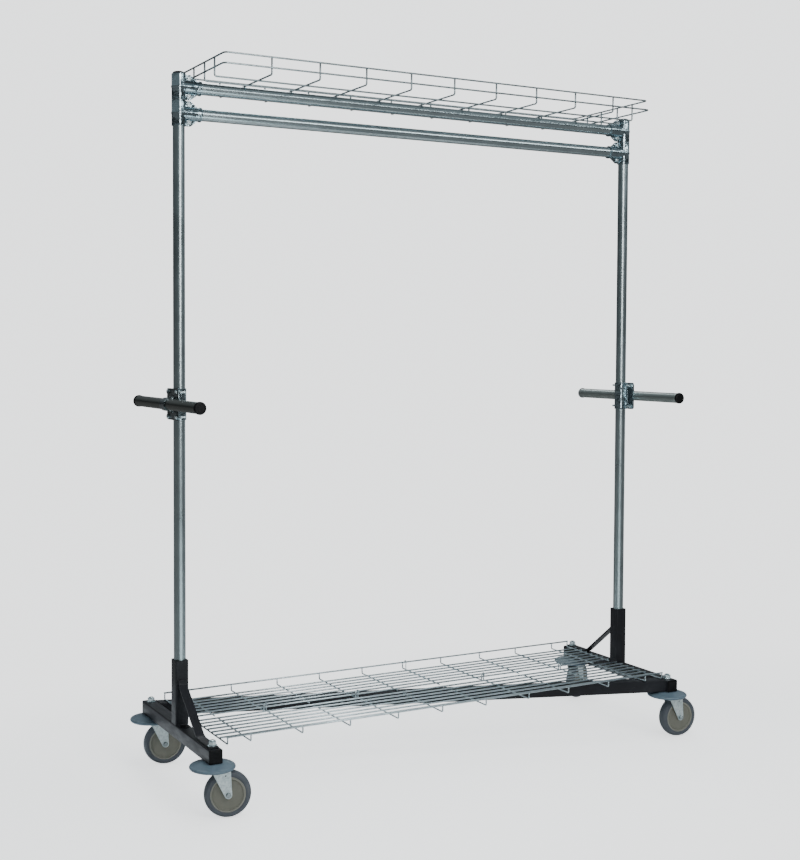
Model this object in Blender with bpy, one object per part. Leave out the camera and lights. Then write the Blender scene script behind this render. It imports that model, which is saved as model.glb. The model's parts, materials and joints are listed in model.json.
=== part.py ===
"""Z-frame garment rail on four swivel casters, with a wire shelf on top and a folding wire shelf below.

X runs along the rails, Y across the rack (towards the back), Z up. Lengths are metres.
The rack is laid out about its own centre line, then moved so that its box is centred on X = 0.
"""

from math import atan2, cos, pi, radians, sin, tau

import bmesh
import bpy
from mathutils import Matrix, Vector

# Driving dimensions
GAP = 0.0003  # between faces that touch
HALF_SPAN = 0.780  # rack centre to an upright's axis
TUBE_R = 0.0167  # uprights and rails: 33.4 mm tube
TUBE_WALL = 0.0020
SQUARE = 0.0381  # base tubes and sockets
SQUARE_WALL = 0.0020
BASE_TOP = 0.1884
BASE_LENGTH = 0.542
SOCKET_TOP = 0.3705
UPRIGHT_TOP = 2.000
LOWER_RAIL_Z = 1.893
UPPER_RAIL_Z = 1.965
HANDLE_Z = 1.088
HANDLE_LENGTH = 0.508
HANDLE_R = 0.015875
HANDLE_OFFSET = 0.0340  # upright's axis to handle's axis
CLAMP_SHEET = 0.0026

STEM_Y = 0.247  # caster stems, from the middle of a base tube
STEM_R = 0.00635
WHEEL_R = 0.0635
WHEEL_HALF_WIDTH = 0.016
TRAIL = 0.040  # swivel axis to axle
AXLE_R = 0.004
TRAIL_ANGLES = {"front_left": -15.0, "back_left": -12.0, "front_right": -5.0, "back_right": 28.0}

TRAY_HALF_LENGTH = 0.7193  # top shelf
TRAY_HALF_DEPTH = 0.188
TRAY_PITCH = 0.1456
TRAY_RIM_Z = 2.031
TRAY_MID_DROP = 0.0293
TRAY_LONG_Y = (0.041, 0.115)
WIRE_R = 0.0025
THIN_WIRE_R = 0.0020

SHELF_SHIFT_X = 0.010  # the loose bottom shelf lies a little to the right
SHELF_HALF_LENGTH = 0.747
SHELF_HALF_DEPTH = 0.248
SHELF_PITCH = 0.151
SHELF_RIM_RISE = 0.021  # rim wire above the base tubes
SHELF_FIRST_Y, SHELF_STEP_Y, SHELF_LONGS = 0.022, 0.0292, 7
HINGE_AT = (1, 3, 6, 8)  # cross wires that carry a hinge eye
LATCH_AT = 5  # cross wire beside the fold latch

ROUND, WHEEL_SIDES, SMALL_SIDES, WIRE_SIDES = 20, 24, 16, 4

# Material name, base colour, roughness, metallic
ZINC = ("zinc", (0.62, 0.66, 0.67), 0.32, 1.0)
WIRE_ZINC = ("wire_zinc", (0.60, 0.65, 0.66), 0.38, 1.0)
BLACK = ("black_paint", (0.028, 0.029, 0.033), 0.42, 0.0)
BLACK_PLASTIC = ("black_plastic", (0.015, 0.015, 0.016), 0.50, 0.0)
BUMPER_GREY = ("bumper_rubber", (0.125, 0.185, 0.235), 0.55, 0.0)
TYRE_GREY = ("tyre_rubber", (0.082, 0.095, 0.112), 0.60, 0.0)
HUB_OLIVE = ("hub_plastic", (0.185, 0.182, 0.140), 0.50, 0.0)


def clear_scene():
    for obj in list(bpy.data.objects):
        bpy.data.objects.remove(obj, do_unlink=True)


def material(look):
    name, colour, roughness, metallic = look
    found = bpy.data.materials.get(name)
    if found:
        return found
    made = bpy.data.materials.new(name)
    made.use_nodes = True
    shader = made.node_tree.nodes["Principled BSDF"]
    shader.inputs["Base Color"].default_value = (*colour, 1.0)
    shader.inputs["Roughness"].default_value = roughness
    shader.inputs["Metallic"].default_value = metallic
    return made


def empty(name, location, parent=None, turn_z=0.0):
    made = bpy.data.objects.new(name, None)
    bpy.context.collection.objects.link(made)
    made.location = location
    made.rotation_euler = (0.0, 0.0, turn_z)
    made.parent = parent
    return made


def add_object(name, bm, look, parent, location=(0, 0, 0), smooth=True):
    """Turn a bmesh into a named object, shaded smooth except on edges over 35 degrees."""
    bmesh.ops.recalc_face_normals(bm, faces=bm.faces)
    mesh = bpy.data.meshes.new(name)
    bm.to_mesh(mesh)
    bm.free()
    mesh.materials.append(material(look))
    if smooth:
        mesh.shade_smooth()
        mesh.set_sharp_from_angle(angle=radians(35))
    made = bpy.data.objects.new(name, mesh)
    bpy.context.collection.objects.link(made)
    made.location = location
    made.parent = parent
    return made


def cut(target, cutters, operation="DIFFERENCE", solver="EXACT"):
    """Boolean each cutter into the target, and hide the cutters."""
    for cutter in cutters:
        cutter.parent = target.parent
        cutter.hide_render = True
        cutter.display_type = "WIRE"
        step = target.modifiers.new(cutter.name, "BOOLEAN")
        step.operation = operation
        step.solver = solver
        step.object = cutter


# Mesh builders: each adds one closed solid to a bmesh

def add_lathe(bm, profile, sides=ROUND, axis="Z", centre=(0, 0, 0)):
    """Turn a closed profile of (radius, height) points about an axis. Radius 0 makes a pole."""
    place = Matrix.Translation(centre) @ {
        "Z": Matrix.Identity(4),
        "Y": Matrix.Rotation(-pi / 2, 4, "X"),
        "X": Matrix.Rotation(pi / 2, 4, "Y"),
    }[axis]
    rings = []
    for radius, height in profile:
        if radius == 0:
            rings.append([bm.verts.new(place @ Vector((0, 0, height)))])
            continue
        spokes = [(radius * cos(tau * i / sides), radius * sin(tau * i / sides)) for i in range(sides)]
        rings.append([bm.verts.new(place @ Vector((x, y, height))) for x, y in spokes])
    for lower, upper in zip(rings, rings[1:] + rings[:1]):
        for i in range(sides):
            j = (i + 1) % sides
            near = [lower[i % len(lower)], lower[j % len(lower)]]
            face = list(dict.fromkeys(near + [upper[j % len(upper)], upper[i % len(upper)]]))
            if len(face) > 2:
                bm.faces.new(face)


def add_rod(bm, radius, low, high, axis="Z", centre=(0, 0, 0), sides=ROUND):
    add_lathe(bm, [(0, low), (radius, low), (radius, high), (0, high)], sides, axis, centre)


def add_pipe(bm, outer, inner, low, high, axis="Z", centre=(0, 0, 0), sides=ROUND):
    add_lathe(bm, [(inner, low), (outer, low), (outer, high), (inner, high)], sides, axis, centre)


def add_prism(bm, outline, low, high, axis="Z", centre=(0, 0, 0)):
    """Extrude a closed outline. Axis Z takes (x, y) points, Y takes (x, z) and X takes (y, z)."""
    def point(u, v, w):
        return Vector({"Z": (u, v, w), "Y": (u, w, v), "X": (w, u, v)}[axis]) + Vector(centre)

    first = [bm.verts.new(point(u, v, low)) for u, v in outline]
    last = [bm.verts.new(point(u, v, high)) for u, v in outline]
    bm.faces.new(first)
    bm.faces.new(last)
    for i in range(len(outline)):
        j = (i + 1) % len(outline)
        bm.faces.new([first[i], first[j], last[j], last[i]])


def add_box(bm, low, high):
    (x0, y0, z0), (x1, y1, z1) = low, high
    add_prism(bm, [(x0, y0), (x1, y0), (x1, y1), (x0, y1)], z0, z1)


FLAT = (pi / 4) ** 0.5  # half side of the square section with a round wire's area, for a radius of 1
CORNER = FLAT * 2 ** 0.5


def add_sweep(bm, points, radius, sides=WIRE_SIDES, closed=False):
    """A wire along straight runs, mitred at each corner. Its square section has the round wire's area."""
    points = [Vector(p) for p in points]
    count = len(points)
    steps = range(count if closed else count - 1)
    runs = [(points[(i + 1) % count] - points[i]).normalized() for i in steps]
    along = runs[0]
    side = along.cross(Vector((0, 0, 1)) if abs(along.z) < 0.9 else Vector((1, 0, 0))).normalized()
    over = along.cross(side)
    corners = [tau * (k + 0.5) / sides for k in range(sides)]
    offsets = [side * cos(a) + over * sin(a) for a in corners]
    rings = []
    for i, point in enumerate(points):
        after = runs[i % len(runs)]
        before = runs[i - 1] if closed or i > 0 else after
        after = before if not closed and i == count - 1 else after
        normal = (before + after).normalized()
        along = before if not (closed and i == 0) else after
        ring = [o * radius * CORNER for o in offsets]
        ring = [o - along * (o.dot(normal) / along.dot(normal)) for o in ring]
        rings.append([bm.verts.new(point + o) for o in ring])
        turn = before.rotation_difference(after)
        if not (closed and i == 0):
            offsets = [turn @ o for o in offsets]
    pairs = list(zip(rings, rings[1:])) + ([(rings[-1], rings[0])] if closed else [])
    for lower, upper in pairs:
        for k in range(sides):
            j = (k + 1) % sides
            bm.faces.new([lower[k], lower[j], upper[j], upper[k]])
    if not closed:
        bm.faces.new(rings[0])
        bm.faces.new(rings[-1])


def arc(centre, radius, start, end, steps):
    """Points of an arc in a plane, angles in degrees."""
    angles = [radians(start + (end - start) * i / steps) for i in range(steps + 1)]
    return [(centre[0] + radius * cos(a), centre[1] + radius * sin(a)) for a in angles]


def rounded_bends(corners, radius, steps=3):
    """Replace each inner corner of a 3-D path with a short arc."""
    corners = [Vector(c) for c in corners]
    path = [corners[0]]
    for before, corner, after in zip(corners, corners[1:], corners[2:]):
        inward, outward = (before - corner).normalized(), (after - corner).normalized()
        start, end = corner + inward * radius, corner + outward * radius
        centre = start + end - corner
        for i in range(steps + 1):
            swing = pi / 2 * i / steps
            path.append(centre + (start - centre) * cos(swing) + (end - centre) * sin(swing))
    return path + [corners[-1]]


def hexagon(across_flats, turn=0.0):
    radius = across_flats / 2 / cos(pi / 6)
    return [(radius * cos(turn + i * pi / 3), radius * sin(turn + i * pi / 3)) for i in range(6)]


# Base and uprights

def build_base_tubes(root):
    hollow = SQUARE / 2 - SQUARE_WALL
    for side, x in (("left", -HALF_SPAN), ("right", HALF_SPAN)):
        bm = bmesh.new()
        half = SQUARE / 2
        square = [(-half, -half), (half, -half), (half, half), (-half, half)]
        add_prism(bm, square, -BASE_LENGTH / 2, BASE_LENGTH / 2, "Y", (x, 0, BASE_TOP - half))
        tube = add_object(f"{side}_base_tube", bm, BLACK, root)
        bm = bmesh.new()
        bore = [(-hollow, -hollow), (hollow, -hollow), (hollow, hollow), (-hollow, hollow)]
        add_prism(bm, bore, -BASE_LENGTH, BASE_LENGTH, "Y", (x, 0, BASE_TOP - half))
        core = add_object(f"{side}_base_bore", bm, BLACK, root)
        bm = bmesh.new()
        for y in (-STEM_Y, STEM_Y):
            add_rod(bm, STEM_R + GAP, -2 * SQUARE, SQUARE, centre=(x, y, BASE_TOP), sides=SMALL_SIDES)
        cut(tube, [core, add_object(f"{side}_base_holes", bm, BLACK, root)])


def build_diagonal(root):
    """Square tube from the back end of the left base tube to the front end of the right one."""
    reach = HALF_SPAN - SQUARE / 2 - GAP
    rise = -0.3195  # slope in plan
    slant = atan2(rise, 1)
    half = SQUARE / 2 / cos(slant)
    inner = (SQUARE / 2 - SQUARE_WALL) / cos(slant)
    bm = bmesh.new()
    low, high = BASE_TOP - SQUARE, BASE_TOP
    walls = []
    for size, bottom, top in ((half, low, high), (inner, low + SQUARE_WALL, high - SQUARE_WALL)):
        ends = []
        for x in (-reach, reach):
            y = x * rise
            corners = ((y - size, bottom), (y + size, bottom), (y + size, top), (y - size, top))
            ends.append([bm.verts.new((x, *corner)) for corner in corners])
        walls.append(ends)
    outer, hollow = walls
    for i in range(4):
        j = (i + 1) % 4
        bm.faces.new([outer[0][i], outer[0][j], outer[1][j], outer[1][i]])
        bm.faces.new([hollow[0][i], hollow[0][j], hollow[1][j], hollow[1][i]])
        for end in (0, 1):
            bm.faces.new([outer[end][i], outer[end][j], hollow[end][j], hollow[end][i]])
    add_object("diagonal_tube", bm, BLACK, root, smooth=False)


def build_sockets(root):
    half = SQUARE / 2
    hole = TUBE_R + GAP
    for side, x in (("left", -HALF_SPAN), ("right", HALF_SPAN)):
        bm = bmesh.new()
        rings = []
        for size in (half, hole):
            for z in (BASE_TOP + GAP, SOCKET_TOP):
                corners = ((-size, -size), (size, -size), (size, size), (-size, size))
                rings.append([bm.verts.new((x + u, v, z)) for u, v in corners])
        outer_low, outer_high, inner_low, inner_high = rings
        for i in range(4):
            j = (i + 1) % 4
            bm.faces.new([outer_low[i], outer_low[j], outer_high[j], outer_high[i]])
            bm.faces.new([inner_low[i], inner_low[j], inner_high[j], inner_high[i]])
            bm.faces.new([outer_low[i], outer_low[j], inner_low[j], inner_low[i]])
            bm.faces.new([outer_high[i], outer_high[j], inner_high[j], inner_high[i]])
        add_object(f"{side}_socket", bm, BLACK, root, smooth=False)


def build_braces(root):
    """Flat bar bolted down by the caster's stem nut and leaning on the socket's face."""
    thick, half_width = 0.005, 0.0125
    face = SQUARE / 2 + GAP
    knee, top = 0.160, 0.316
    foot_end = STEM_Y + 0.016
    floor = BASE_TOP + GAP
    for side, x, way in (("left", -HALF_SPAN, -1), ("right", HALF_SPAN, 1)):
        outline = [(foot_end, floor), (knee, floor), (face, top - 0.012), (face, top),
                   (face + thick, top), (face + thick, top - 0.010), (knee + 0.003, floor + thick),
                   (foot_end, floor + thick)]
        outline = [(way * y, z) for y, z in outline]
        bm = bmesh.new()
        add_prism(bm, outline, -half_width, half_width, "X", (x, 0, 0))
        brace = add_object(f"{side}_brace", bm, BLACK, root, smooth=False)
        bm = bmesh.new()
        add_rod(bm, STEM_R + GAP, -0.03, 0.03, centre=(x, way * STEM_Y, BASE_TOP), sides=SMALL_SIDES)
        cut(brace, [add_object(f"{side}_brace_hole", bm, BLACK, root)])


def build_uprights(root):
    top = UPRIGHT_TOP + GAP
    plug = TUBE_R - TUBE_WALL - GAP
    profile = [(0, top - 0.012), (plug, top - 0.012), (plug, top), (TUBE_R, top), (TUBE_R, top + 0.003),
               (TUBE_R - 0.002, top + 0.0055), (TUBE_R - 0.007, top + 0.0075), (0, top + 0.0085)]
    for side, x in (("left", -HALF_SPAN), ("right", HALF_SPAN)):
        bm = bmesh.new()
        add_pipe(bm, TUBE_R, TUBE_R - TUBE_WALL, BASE_TOP + 2 * GAP, UPRIGHT_TOP, centre=(x, 0, 0))
        add_object(f"{side}_upright", bm, ZINC, root)
        bm = bmesh.new()
        add_lathe(bm, profile, centre=(x, 0, 0))
        add_object(f"{side}_upright_cap", bm, BLACK_PLASTIC, root)


def build_rails(root):
    reach = HALF_SPAN - TUBE_R - 0.0013
    for name, z in (("lower_rail", LOWER_RAIL_Z), ("upper_rail", UPPER_RAIL_Z)):
        bm = bmesh.new()
        add_pipe(bm, TUBE_R, TUBE_R - TUBE_WALL, -reach, reach, "X", (0, 0, z))
        add_object(name, bm, ZINC, root)


# Pressed clamps

T_CLAMP_HALF_HEIGHT = 0.035
T_CLAMP_REACH = 0.064
T_BOLT_X, T_BOLT_Z = 0.028, 0.024
T_FLANGE = 0.0028  # half the pair's flange thickness
CLAMP_BOLT_R = 0.003
PLATE_HALF_LENGTH, PLATE_HALF_HEIGHT, PLATE_CORNER = 0.046, 0.044, 0.007
PLATE_BOLT_Y, PLATE_BOLT_Z = 0.033, 0.0345
LOOP_HALF_LENGTH = 0.018


def build_clamp_shell(name, at, inward, way, root):
    """Half a pressed T-clamp: flanges with half a barrel on the upright and half a sleeve on the rail."""
    outer, inner, tall = TUBE_R + GAP + CLAMP_SHEET, TUBE_R + GAP, T_CLAMP_HALF_HEIGHT
    low = -tall + 0.0005
    edge = [(0.002, low), (0.037, low), (0.052, -outer - 0.001), (T_CLAMP_REACH - 0.001, -outer + 0.004)]
    outline = [(inward * u, v) for u, v in edge + [(u, -v) for u, v in reversed(edge)]]
    x0, _, z0 = at
    near, far = sorted((0, inward * T_CLAMP_REACH))
    inside, outside = sorted((inward * TUBE_R * 0.8, inward * 0.1))
    flange, barrel, sleeve, bore, rail_bore, other_half, holes = (bmesh.new() for _ in range(7))
    add_prism(flange, outline, *sorted((-way * 0.002, way * (GAP + T_FLANGE))), "Y", at)
    add_rod(barrel, outer, -tall, tall, centre=at)
    add_rod(sleeve, outer - 0.0002, near, far, "X", at)
    add_rod(bore, inner, -0.1, 0.1, centre=at)
    add_rod(rail_bore, inner - 0.00005, inside, outside, "X", at)
    low, high = sorted((way * GAP / 2, -way * 0.05))
    add_box(other_half, (x0 - 0.1, low, z0 - 0.1), (x0 + 0.1, high, z0 + 0.1))
    for dz in (-T_BOLT_Z, T_BOLT_Z):
        add_rod(holes, CLAMP_BOLT_R + GAP, -0.02, 0.02, "Y", (x0 + inward * T_BOLT_X, 0, z0 + dz), 10)
    shell = add_object(name, flange, ZINC, root)
    for label, bm in (("barrel", barrel), ("sleeve", sleeve)):
        cut(shell, [add_object(f"{name}_{label}", bm, ZINC, root)], "UNION")
    cutters = {"bore": bore, "rail_bore": rail_bore, "other_half": other_half, "holes": holes}
    for label, bm in cutters.items():
        cut(shell, [add_object(f"{name}_{label}", bm, ZINC, root)], solver="MANIFOLD")


def build_rail_clamps(root):
    for level, z in (("lower", LOWER_RAIL_Z), ("upper", UPPER_RAIL_Z)):
        for side, x in (("left", -HALF_SPAN), ("right", HALF_SPAN)):
            for face, way in (("front", -1), ("back", 1)):
                inward = 1 if side == "left" else -1
                build_clamp_shell(f"{side}_{level}_clamp_{face}", (x, 0, z), inward, way, root)


def build_handle_clamps(root):
    """An outer plate with a loop for the handle, bolted at its corners to a saddle around the upright."""
    long, tall, corner = PLATE_HALF_LENGTH, PLATE_HALF_HEIGHT, PLATE_CORNER
    hold, ear = HANDLE_R + GAP, TUBE_R + GAP
    outer, flange = ear + CLAMP_SHEET, ear - GAP - CLAMP_SHEET
    quarter = [(long, tall - corner), (long - corner, tall)]
    face = quarter + [(-y, z) for y, z in reversed(quarter)]
    face += [(-y, -z) for y, z in face]
    reach = hold + CLAMP_SHEET
    around = arc((HANDLE_OFFSET, 0), reach, 90, -90, 10)
    loop_outline = [(ear + 0.001, reach), *around, (ear + 0.001, -reach)]
    outside = [(flange, long), (flange, outer), *arc((0, 0), outer, 90, 270, 12), (flange, -outer),
               (flange, -long)]
    inside = [(ear - GAP, -long), (ear - GAP, -ear), *arc((0, 0), ear, 270, 90, 12), (ear - GAP, ear)]
    saddle_outline = [(ear - GAP, long), *outside, *inside]
    for side, sign in (("left", -1), ("right", 1)):
        at = (sign * HALF_SPAN, 0, HANDLE_Z)
        plate, loop, bore, saddle, blank, holes = (bmesh.new() for _ in range(6))
        add_prism(plate, face, *sorted((sign * ear, sign * outer)), "X", at)
        mirrored = [(sign * u, v) for u, v in loop_outline]
        add_prism(loop, mirrored, -LOOP_HALF_LENGTH, LOOP_HALF_LENGTH, "Y", at)
        add_rod(bore, hold, -0.1, 0.1, "Y", (at[0] + sign * HANDLE_OFFSET, 0, HANDLE_Z))
        add_prism(saddle, [(sign * u, v) for u, v in saddle_outline], -tall, tall, "Z", at)
        add_prism(blank, face, -0.1, 0.1, "X", at)
        for y in (-PLATE_BOLT_Y, PLATE_BOLT_Y):
            for z in (-PLATE_BOLT_Z, PLATE_BOLT_Z):
                add_rod(holes, CLAMP_BOLT_R + GAP, -0.04, 0.04, "X", (at[0], y, HANDLE_Z + z), 10)
        name = f"{side}_handle"
        hole_cutter = add_object(f"{name}_clamp_holes", holes, ZINC, root)
        strap = add_object(f"{name}_strap", plate, ZINC, root)
        cut(strap, [add_object(f"{name}_loop", loop, ZINC, root)], "UNION")
        cut(strap, [add_object(f"{name}_bore", bore, ZINC, root), hole_cutter])
        shell = add_object(f"{name}_saddle", saddle, ZINC, root)
        cut(shell, [add_object(f"{name}_saddle_blank", blank, ZINC, root)], "INTERSECT")
        cut(shell, [hole_cutter])


def build_handles(root):
    cap_r = 0.0174
    cap = 0.009
    end = HANDLE_LENGTH / 2 - cap
    for side, sign in (("left", -1), ("right", 1)):
        at = (sign * (HALF_SPAN + HANDLE_OFFSET), 0, HANDLE_Z)
        bm = bmesh.new()
        add_pipe(bm, HANDLE_R, HANDLE_R - TUBE_WALL, -end, end, "Y", at)
        add_object(f"{side}_handle", bm, ZINC, root)
        plug = HANDLE_R - TUBE_WALL - GAP
        for face, way in (("front", -1), ("back", 1)):
            profile = [(0, end - 0.015), (plug, end - 0.015), (plug, end + GAP), (cap_r, end + GAP),
                       (cap_r, end + 0.005), (cap_r - 0.003, end + cap), (0, end + cap)]
            bm = bmesh.new()
            add_lathe(bm, [(r, way * y) for r, y in profile], axis="Y", centre=at)
            add_object(f"{side}_handle_{face}_cap", bm, BLACK_PLASTIC, root)


# Wire shelves: the wires cross flat on flat. Their ends are welded, and the other crossings keep a gap.

def build_top_shelf(root):
    bend = 0.006
    floor = UPPER_RAIL_Z + TUBE_R + GAP + WIRE_R * FLAT
    step = 2 * WIRE_R * FLAT
    half_x, half_y = TRAY_HALF_LENGTH, TRAY_HALF_DEPTH
    rims, crossing, long = bmesh.new(), bmesh.new(), bmesh.new()
    for grow, z in ((0.0, TRAY_RIM_Z), (step - GAP, TRAY_RIM_Z - TRAY_MID_DROP)):
        x, y = half_x + grow, half_y + grow
        corners = [(-x, -y, z), (x, -y, z), (x, y, z), (-x, y, z)]
        loop = rounded_bends(corners + corners[:2], 0.012)
        add_sweep(rims, loop[1:-1], WIRE_R, closed=True)
    for i in range(-4, 5):
        x = i * TRAY_PITCH
        side_view = [(-half_y, TRAY_RIM_Z), (-half_y, floor), (half_y, floor), (half_y, TRAY_RIM_Z)]
        add_sweep(crossing, rounded_bends([(x, y, z) for y, z in side_view], bend, 2), WIRE_R)
    z = floor - step - GAP
    for y in (-TRAY_LONG_Y[1], -TRAY_LONG_Y[0], *TRAY_LONG_Y):
        ends = [(-half_x, y, TRAY_RIM_Z), (-half_x, y, z), (half_x, y, z), (half_x, y, TRAY_RIM_Z)]
        add_sweep(long, rounded_bends(ends, bend, 2), WIRE_R)
    shelf = add_object("top_shelf", crossing, WIRE_ZINC, root)
    cut(shelf, [add_object("top_shelf_long", long, WIRE_ZINC, root)], "UNION")
    cut(shelf, [add_object("top_shelf_rims", rims, WIRE_ZINC, root)], "UNION")


# Bottom shelf: two trays hinged along the middle, so the front one folds over the back one

SHELF_RIM_Z = BASE_TOP + SHELF_RIM_RISE
CROSS_Z = BASE_TOP + GAP + THIN_WIRE_R * FLAT
END_RISE = 2 * GAP  # lifts the end wires into the long wires
LONG_Z = CROSS_Z + (THIN_WIRE_R + WIRE_R) * FLAT + GAP
PIN_R = 0.0020
EYE_BORE = PIN_R + 0.0004
EYE_R = 0.0055
EYE_SPREAD = 0.0035  # distance from a hinge's middle to each panel's leg


def cross_wire_places():
    regular = [SHELF_SHIFT_X + (i - 4.5) * SHELF_PITCH for i in range(10)]
    ends = [SHELF_SHIFT_X - SHELF_HALF_LENGTH, SHELF_SHIFT_X + SHELF_HALF_LENGTH]
    return regular, ends


def build_shelf_panel(name, way, parent, origin):
    """One tray. Way is 1 for the back panel and -1 for the front panel, which carries the eyes."""
    def place(x, y, z):
        return (x - origin[0], way * y - origin[1], z - origin[2])

    regular, ends = cross_wire_places()
    reach = SHELF_HALF_LENGTH + THIN_WIRE_R
    x0, x1 = SHELF_SHIFT_X - reach, SHELF_SHIFT_X + reach
    crossing, long, hinges = bmesh.new(), bmesh.new(), bmesh.new()
    add_sweep(long, [place(x, SHELF_HALF_DEPTH, SHELF_RIM_Z) for x in (x0, x1)], WIRE_R)
    for i in range(SHELF_LONGS):
        y = SHELF_FIRST_Y + i * SHELF_STEP_Y
        add_sweep(long, [place(x0, y, LONG_Z), place(x1, y, LONG_Z)], WIRE_R)
    leg_top = SHELF_RIM_Z - (EYE_BORE + 0.0006 if way < 0 else 0.0)
    for i, x in enumerate(regular + ends):
        hinged = i in HINGE_AT
        x += EYE_SPREAD * -way if hinged else 0.0
        z = CROSS_Z + (END_RISE if x in ends else 0.0)
        inner = [(x, 0, leg_top), (x, 0, z)] if hinged else [(x, SHELF_FIRST_Y - 0.006, z)]
        outer = [(x, SHELF_HALF_DEPTH, z), (x, SHELF_HALF_DEPTH, SHELF_RIM_Z)]
        path = rounded_bends(inner + outer, 0.004, 2)
        add_sweep(crossing, [place(*p) for p in path], THIN_WIRE_R)
        if not hinged:
            continue
        centre = place(x, 0, SHELF_RIM_Z)
        if way < 0:
            add_pipe(hinges, EYE_R, EYE_BORE, -0.0022, 0.0022, "X", centre, 12)
        else:
            add_rod(hinges, PIN_R, -0.0035, 2 * EYE_SPREAD + 0.0035, "X", centre, 12)
    panel = add_object(name, crossing, WIRE_ZINC, parent)
    cut(panel, [add_object(f"{name}_hinges", hinges, WIRE_ZINC, parent)], "UNION")
    cut(panel, [add_object(f"{name}_long", long, WIRE_ZINC, parent)], "UNION")


def build_fold_latch(root):
    """A wire hook that hangs on the back rim and holds the front rim when the shelf is folded."""
    regular, _ = cross_wire_places()
    pivot = empty("fold_latch_pivot", (regular[LATCH_AT] + 0.011, SHELF_HALF_DEPTH, SHELF_RIM_Z), root)
    wire = 0.0014
    eye = (WIRE_R + wire) * CORNER + GAP
    tail = [(0.0045, -0.0225), (0.0005, -0.0245), (-0.0035, -0.0215), (-0.0020, -0.0090)]
    outline = tail + arc((0, 0), eye, 205, -50, 8)
    bm = bmesh.new()
    add_sweep(bm, [(0, u, v) for u, v in outline], wire)
    add_object("fold_latch_hook", bm, WIRE_ZINC, pivot)


def build_bottom_shelf(root):
    build_shelf_panel("back_shelf_panel", 1, root, (0, 0, 0))
    hinge = (SHELF_SHIFT_X, 0, SHELF_RIM_Z)
    build_shelf_panel("front_shelf_panel", -1, empty("front_shelf_pivot", hinge, root), hinge)
    build_fold_latch(root)


# Casters

CROWN_LOW, CROWN_HIGH = 0.1286, 0.1316
HEAD_HIGH = 0.1395
BUMPER_LOW = 0.1330
FORK_HALF = 0.0205
FORK_SHEET = 0.0025


def caster_places():
    for name, angle in TRAIL_ANGLES.items():
        x = -HALF_SPAN if name.endswith("left") else HALF_SPAN
        y = -STEM_Y if name.startswith("front") else STEM_Y
        yield name, x, y, radians(angle)


def build_stem(name, x, y, root):
    """Threaded stem with the fork's raceway below the base tube, and its nut above."""
    braced = name in ("front_left", "back_right")
    seat = BASE_TOP + GAP + (0.005 + GAP if braced else 0)
    top = seat + 0.0150
    turned, nut = bmesh.new(), bmesh.new()
    raceway = [(0, CROWN_HIGH + GAP), (0.021, CROWN_HIGH + GAP), (0.021, HEAD_HIGH), (STEM_R, HEAD_HIGH)]
    washer = [(STEM_R, seat), (0.0125, seat), (0.0125, seat + 0.002), (STEM_R, seat + 0.002)]
    profile = [*raceway, *washer, (STEM_R, top), (0, top)]
    add_lathe(turned, profile, SMALL_SIDES, centre=(x, y, 0))
    add_prism(nut, hexagon(0.0190, pi / 2), seat + 0.0015, seat + 0.0125, "Z", (x, y, 0))
    stem = add_object(f"{name}_stem", turned, ZINC, root)
    cut(stem, [add_object(f"{name}_stem_nut", nut, ZINC, root)], "UNION")


def build_bumper(name, x, y, root):
    low, top, hole = BUMPER_LOW, BASE_TOP - SQUARE - GAP, STEM_R + GAP
    profile = [(0.024, low), (0.0600, low), (0.0620, low + 0.0045), (0.0590, low + 0.0080),
               (0.036, top - 0.0015), (0.030, top), (hole, top), (hole, HEAD_HIGH + GAP),
               (0.024, HEAD_HIGH + GAP)]
    bm = bmesh.new()
    add_lathe(bm, profile, WHEEL_SIDES, centre=(x, y, 0))
    add_object(f"{name}_bumper", bm, BUMPER_GREY, root)


def fork_outline():
    """Side view of the fork, with x along the trail: a crown that tapers to the axle boss."""
    boss = 0.0100
    top, axle = CROWN_HIGH, (TRAIL, WHEEL_R)
    round_boss = arc(axle, boss, -145, -110, 2) + arc(axle, boss, -90, 5, 4)
    return [(-0.022, top), (-0.022, CROWN_LOW - 0.001), (0.000, 0.121), *round_boss, (0.046, top)]


def build_fork(name, swivel):
    outer, inner = FORK_HALF, FORK_HALF - FORK_SHEET
    bm = bmesh.new()
    section = [(-outer, 0.040), (-outer, CROWN_HIGH), (outer, CROWN_HIGH), (outer, 0.040), (inner, 0.040),
               (inner, CROWN_LOW), (-inner, CROWN_LOW), (-inner, 0.040)]
    add_prism(bm, section, -0.03, 0.06, "X")
    fork = add_object(f"{name}_caster_fork", bm, ZINC, swivel)
    bm = bmesh.new()
    add_prism(bm, fork_outline(), -0.05, 0.05, "Y")
    side_view = add_object(f"{name}_fork_side_view", bm, ZINC, swivel)
    bm = bmesh.new()
    add_rod(bm, AXLE_R + GAP, -0.05, 0.05, "Y", (TRAIL, 0, WHEEL_R), 12)
    axle_hole = add_object(f"{name}_fork_hole", bm, ZINC, swivel)
    cut(fork, [side_view], "INTERSECT")
    cut(fork, [axle_hole])


def build_wheel(name, wheel):
    half = WHEEL_HALF_WIDTH
    rim = 0.0475
    bm = bmesh.new()
    hub = [(AXLE_R + GAP, -half - 0.0012), (0.0115, -half - 0.0012), (0.0125, -half + 0.003),
           (rim, -half + 0.001)]
    hub = hub + [(r, -y) for r, y in reversed(hub)]
    add_lathe(bm, hub, WHEEL_SIDES, "Y")
    add_object(f"{name}_wheel_hub", bm, HUB_OLIVE, wheel)
    bm = bmesh.new()
    seat = rim + GAP
    tyre = [(seat, -half + 0.001), (0.0500, -half), (0.0575, -half), (0.0622, -0.0085), (WHEEL_R, 0)]
    tyre = tyre + [(r, -y) for r, y in reversed(tyre[:-1])]
    add_lathe(bm, tyre, WHEEL_SIDES, "Y")
    add_object(f"{name}_tyre", bm, TYRE_GREY, wheel)


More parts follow.
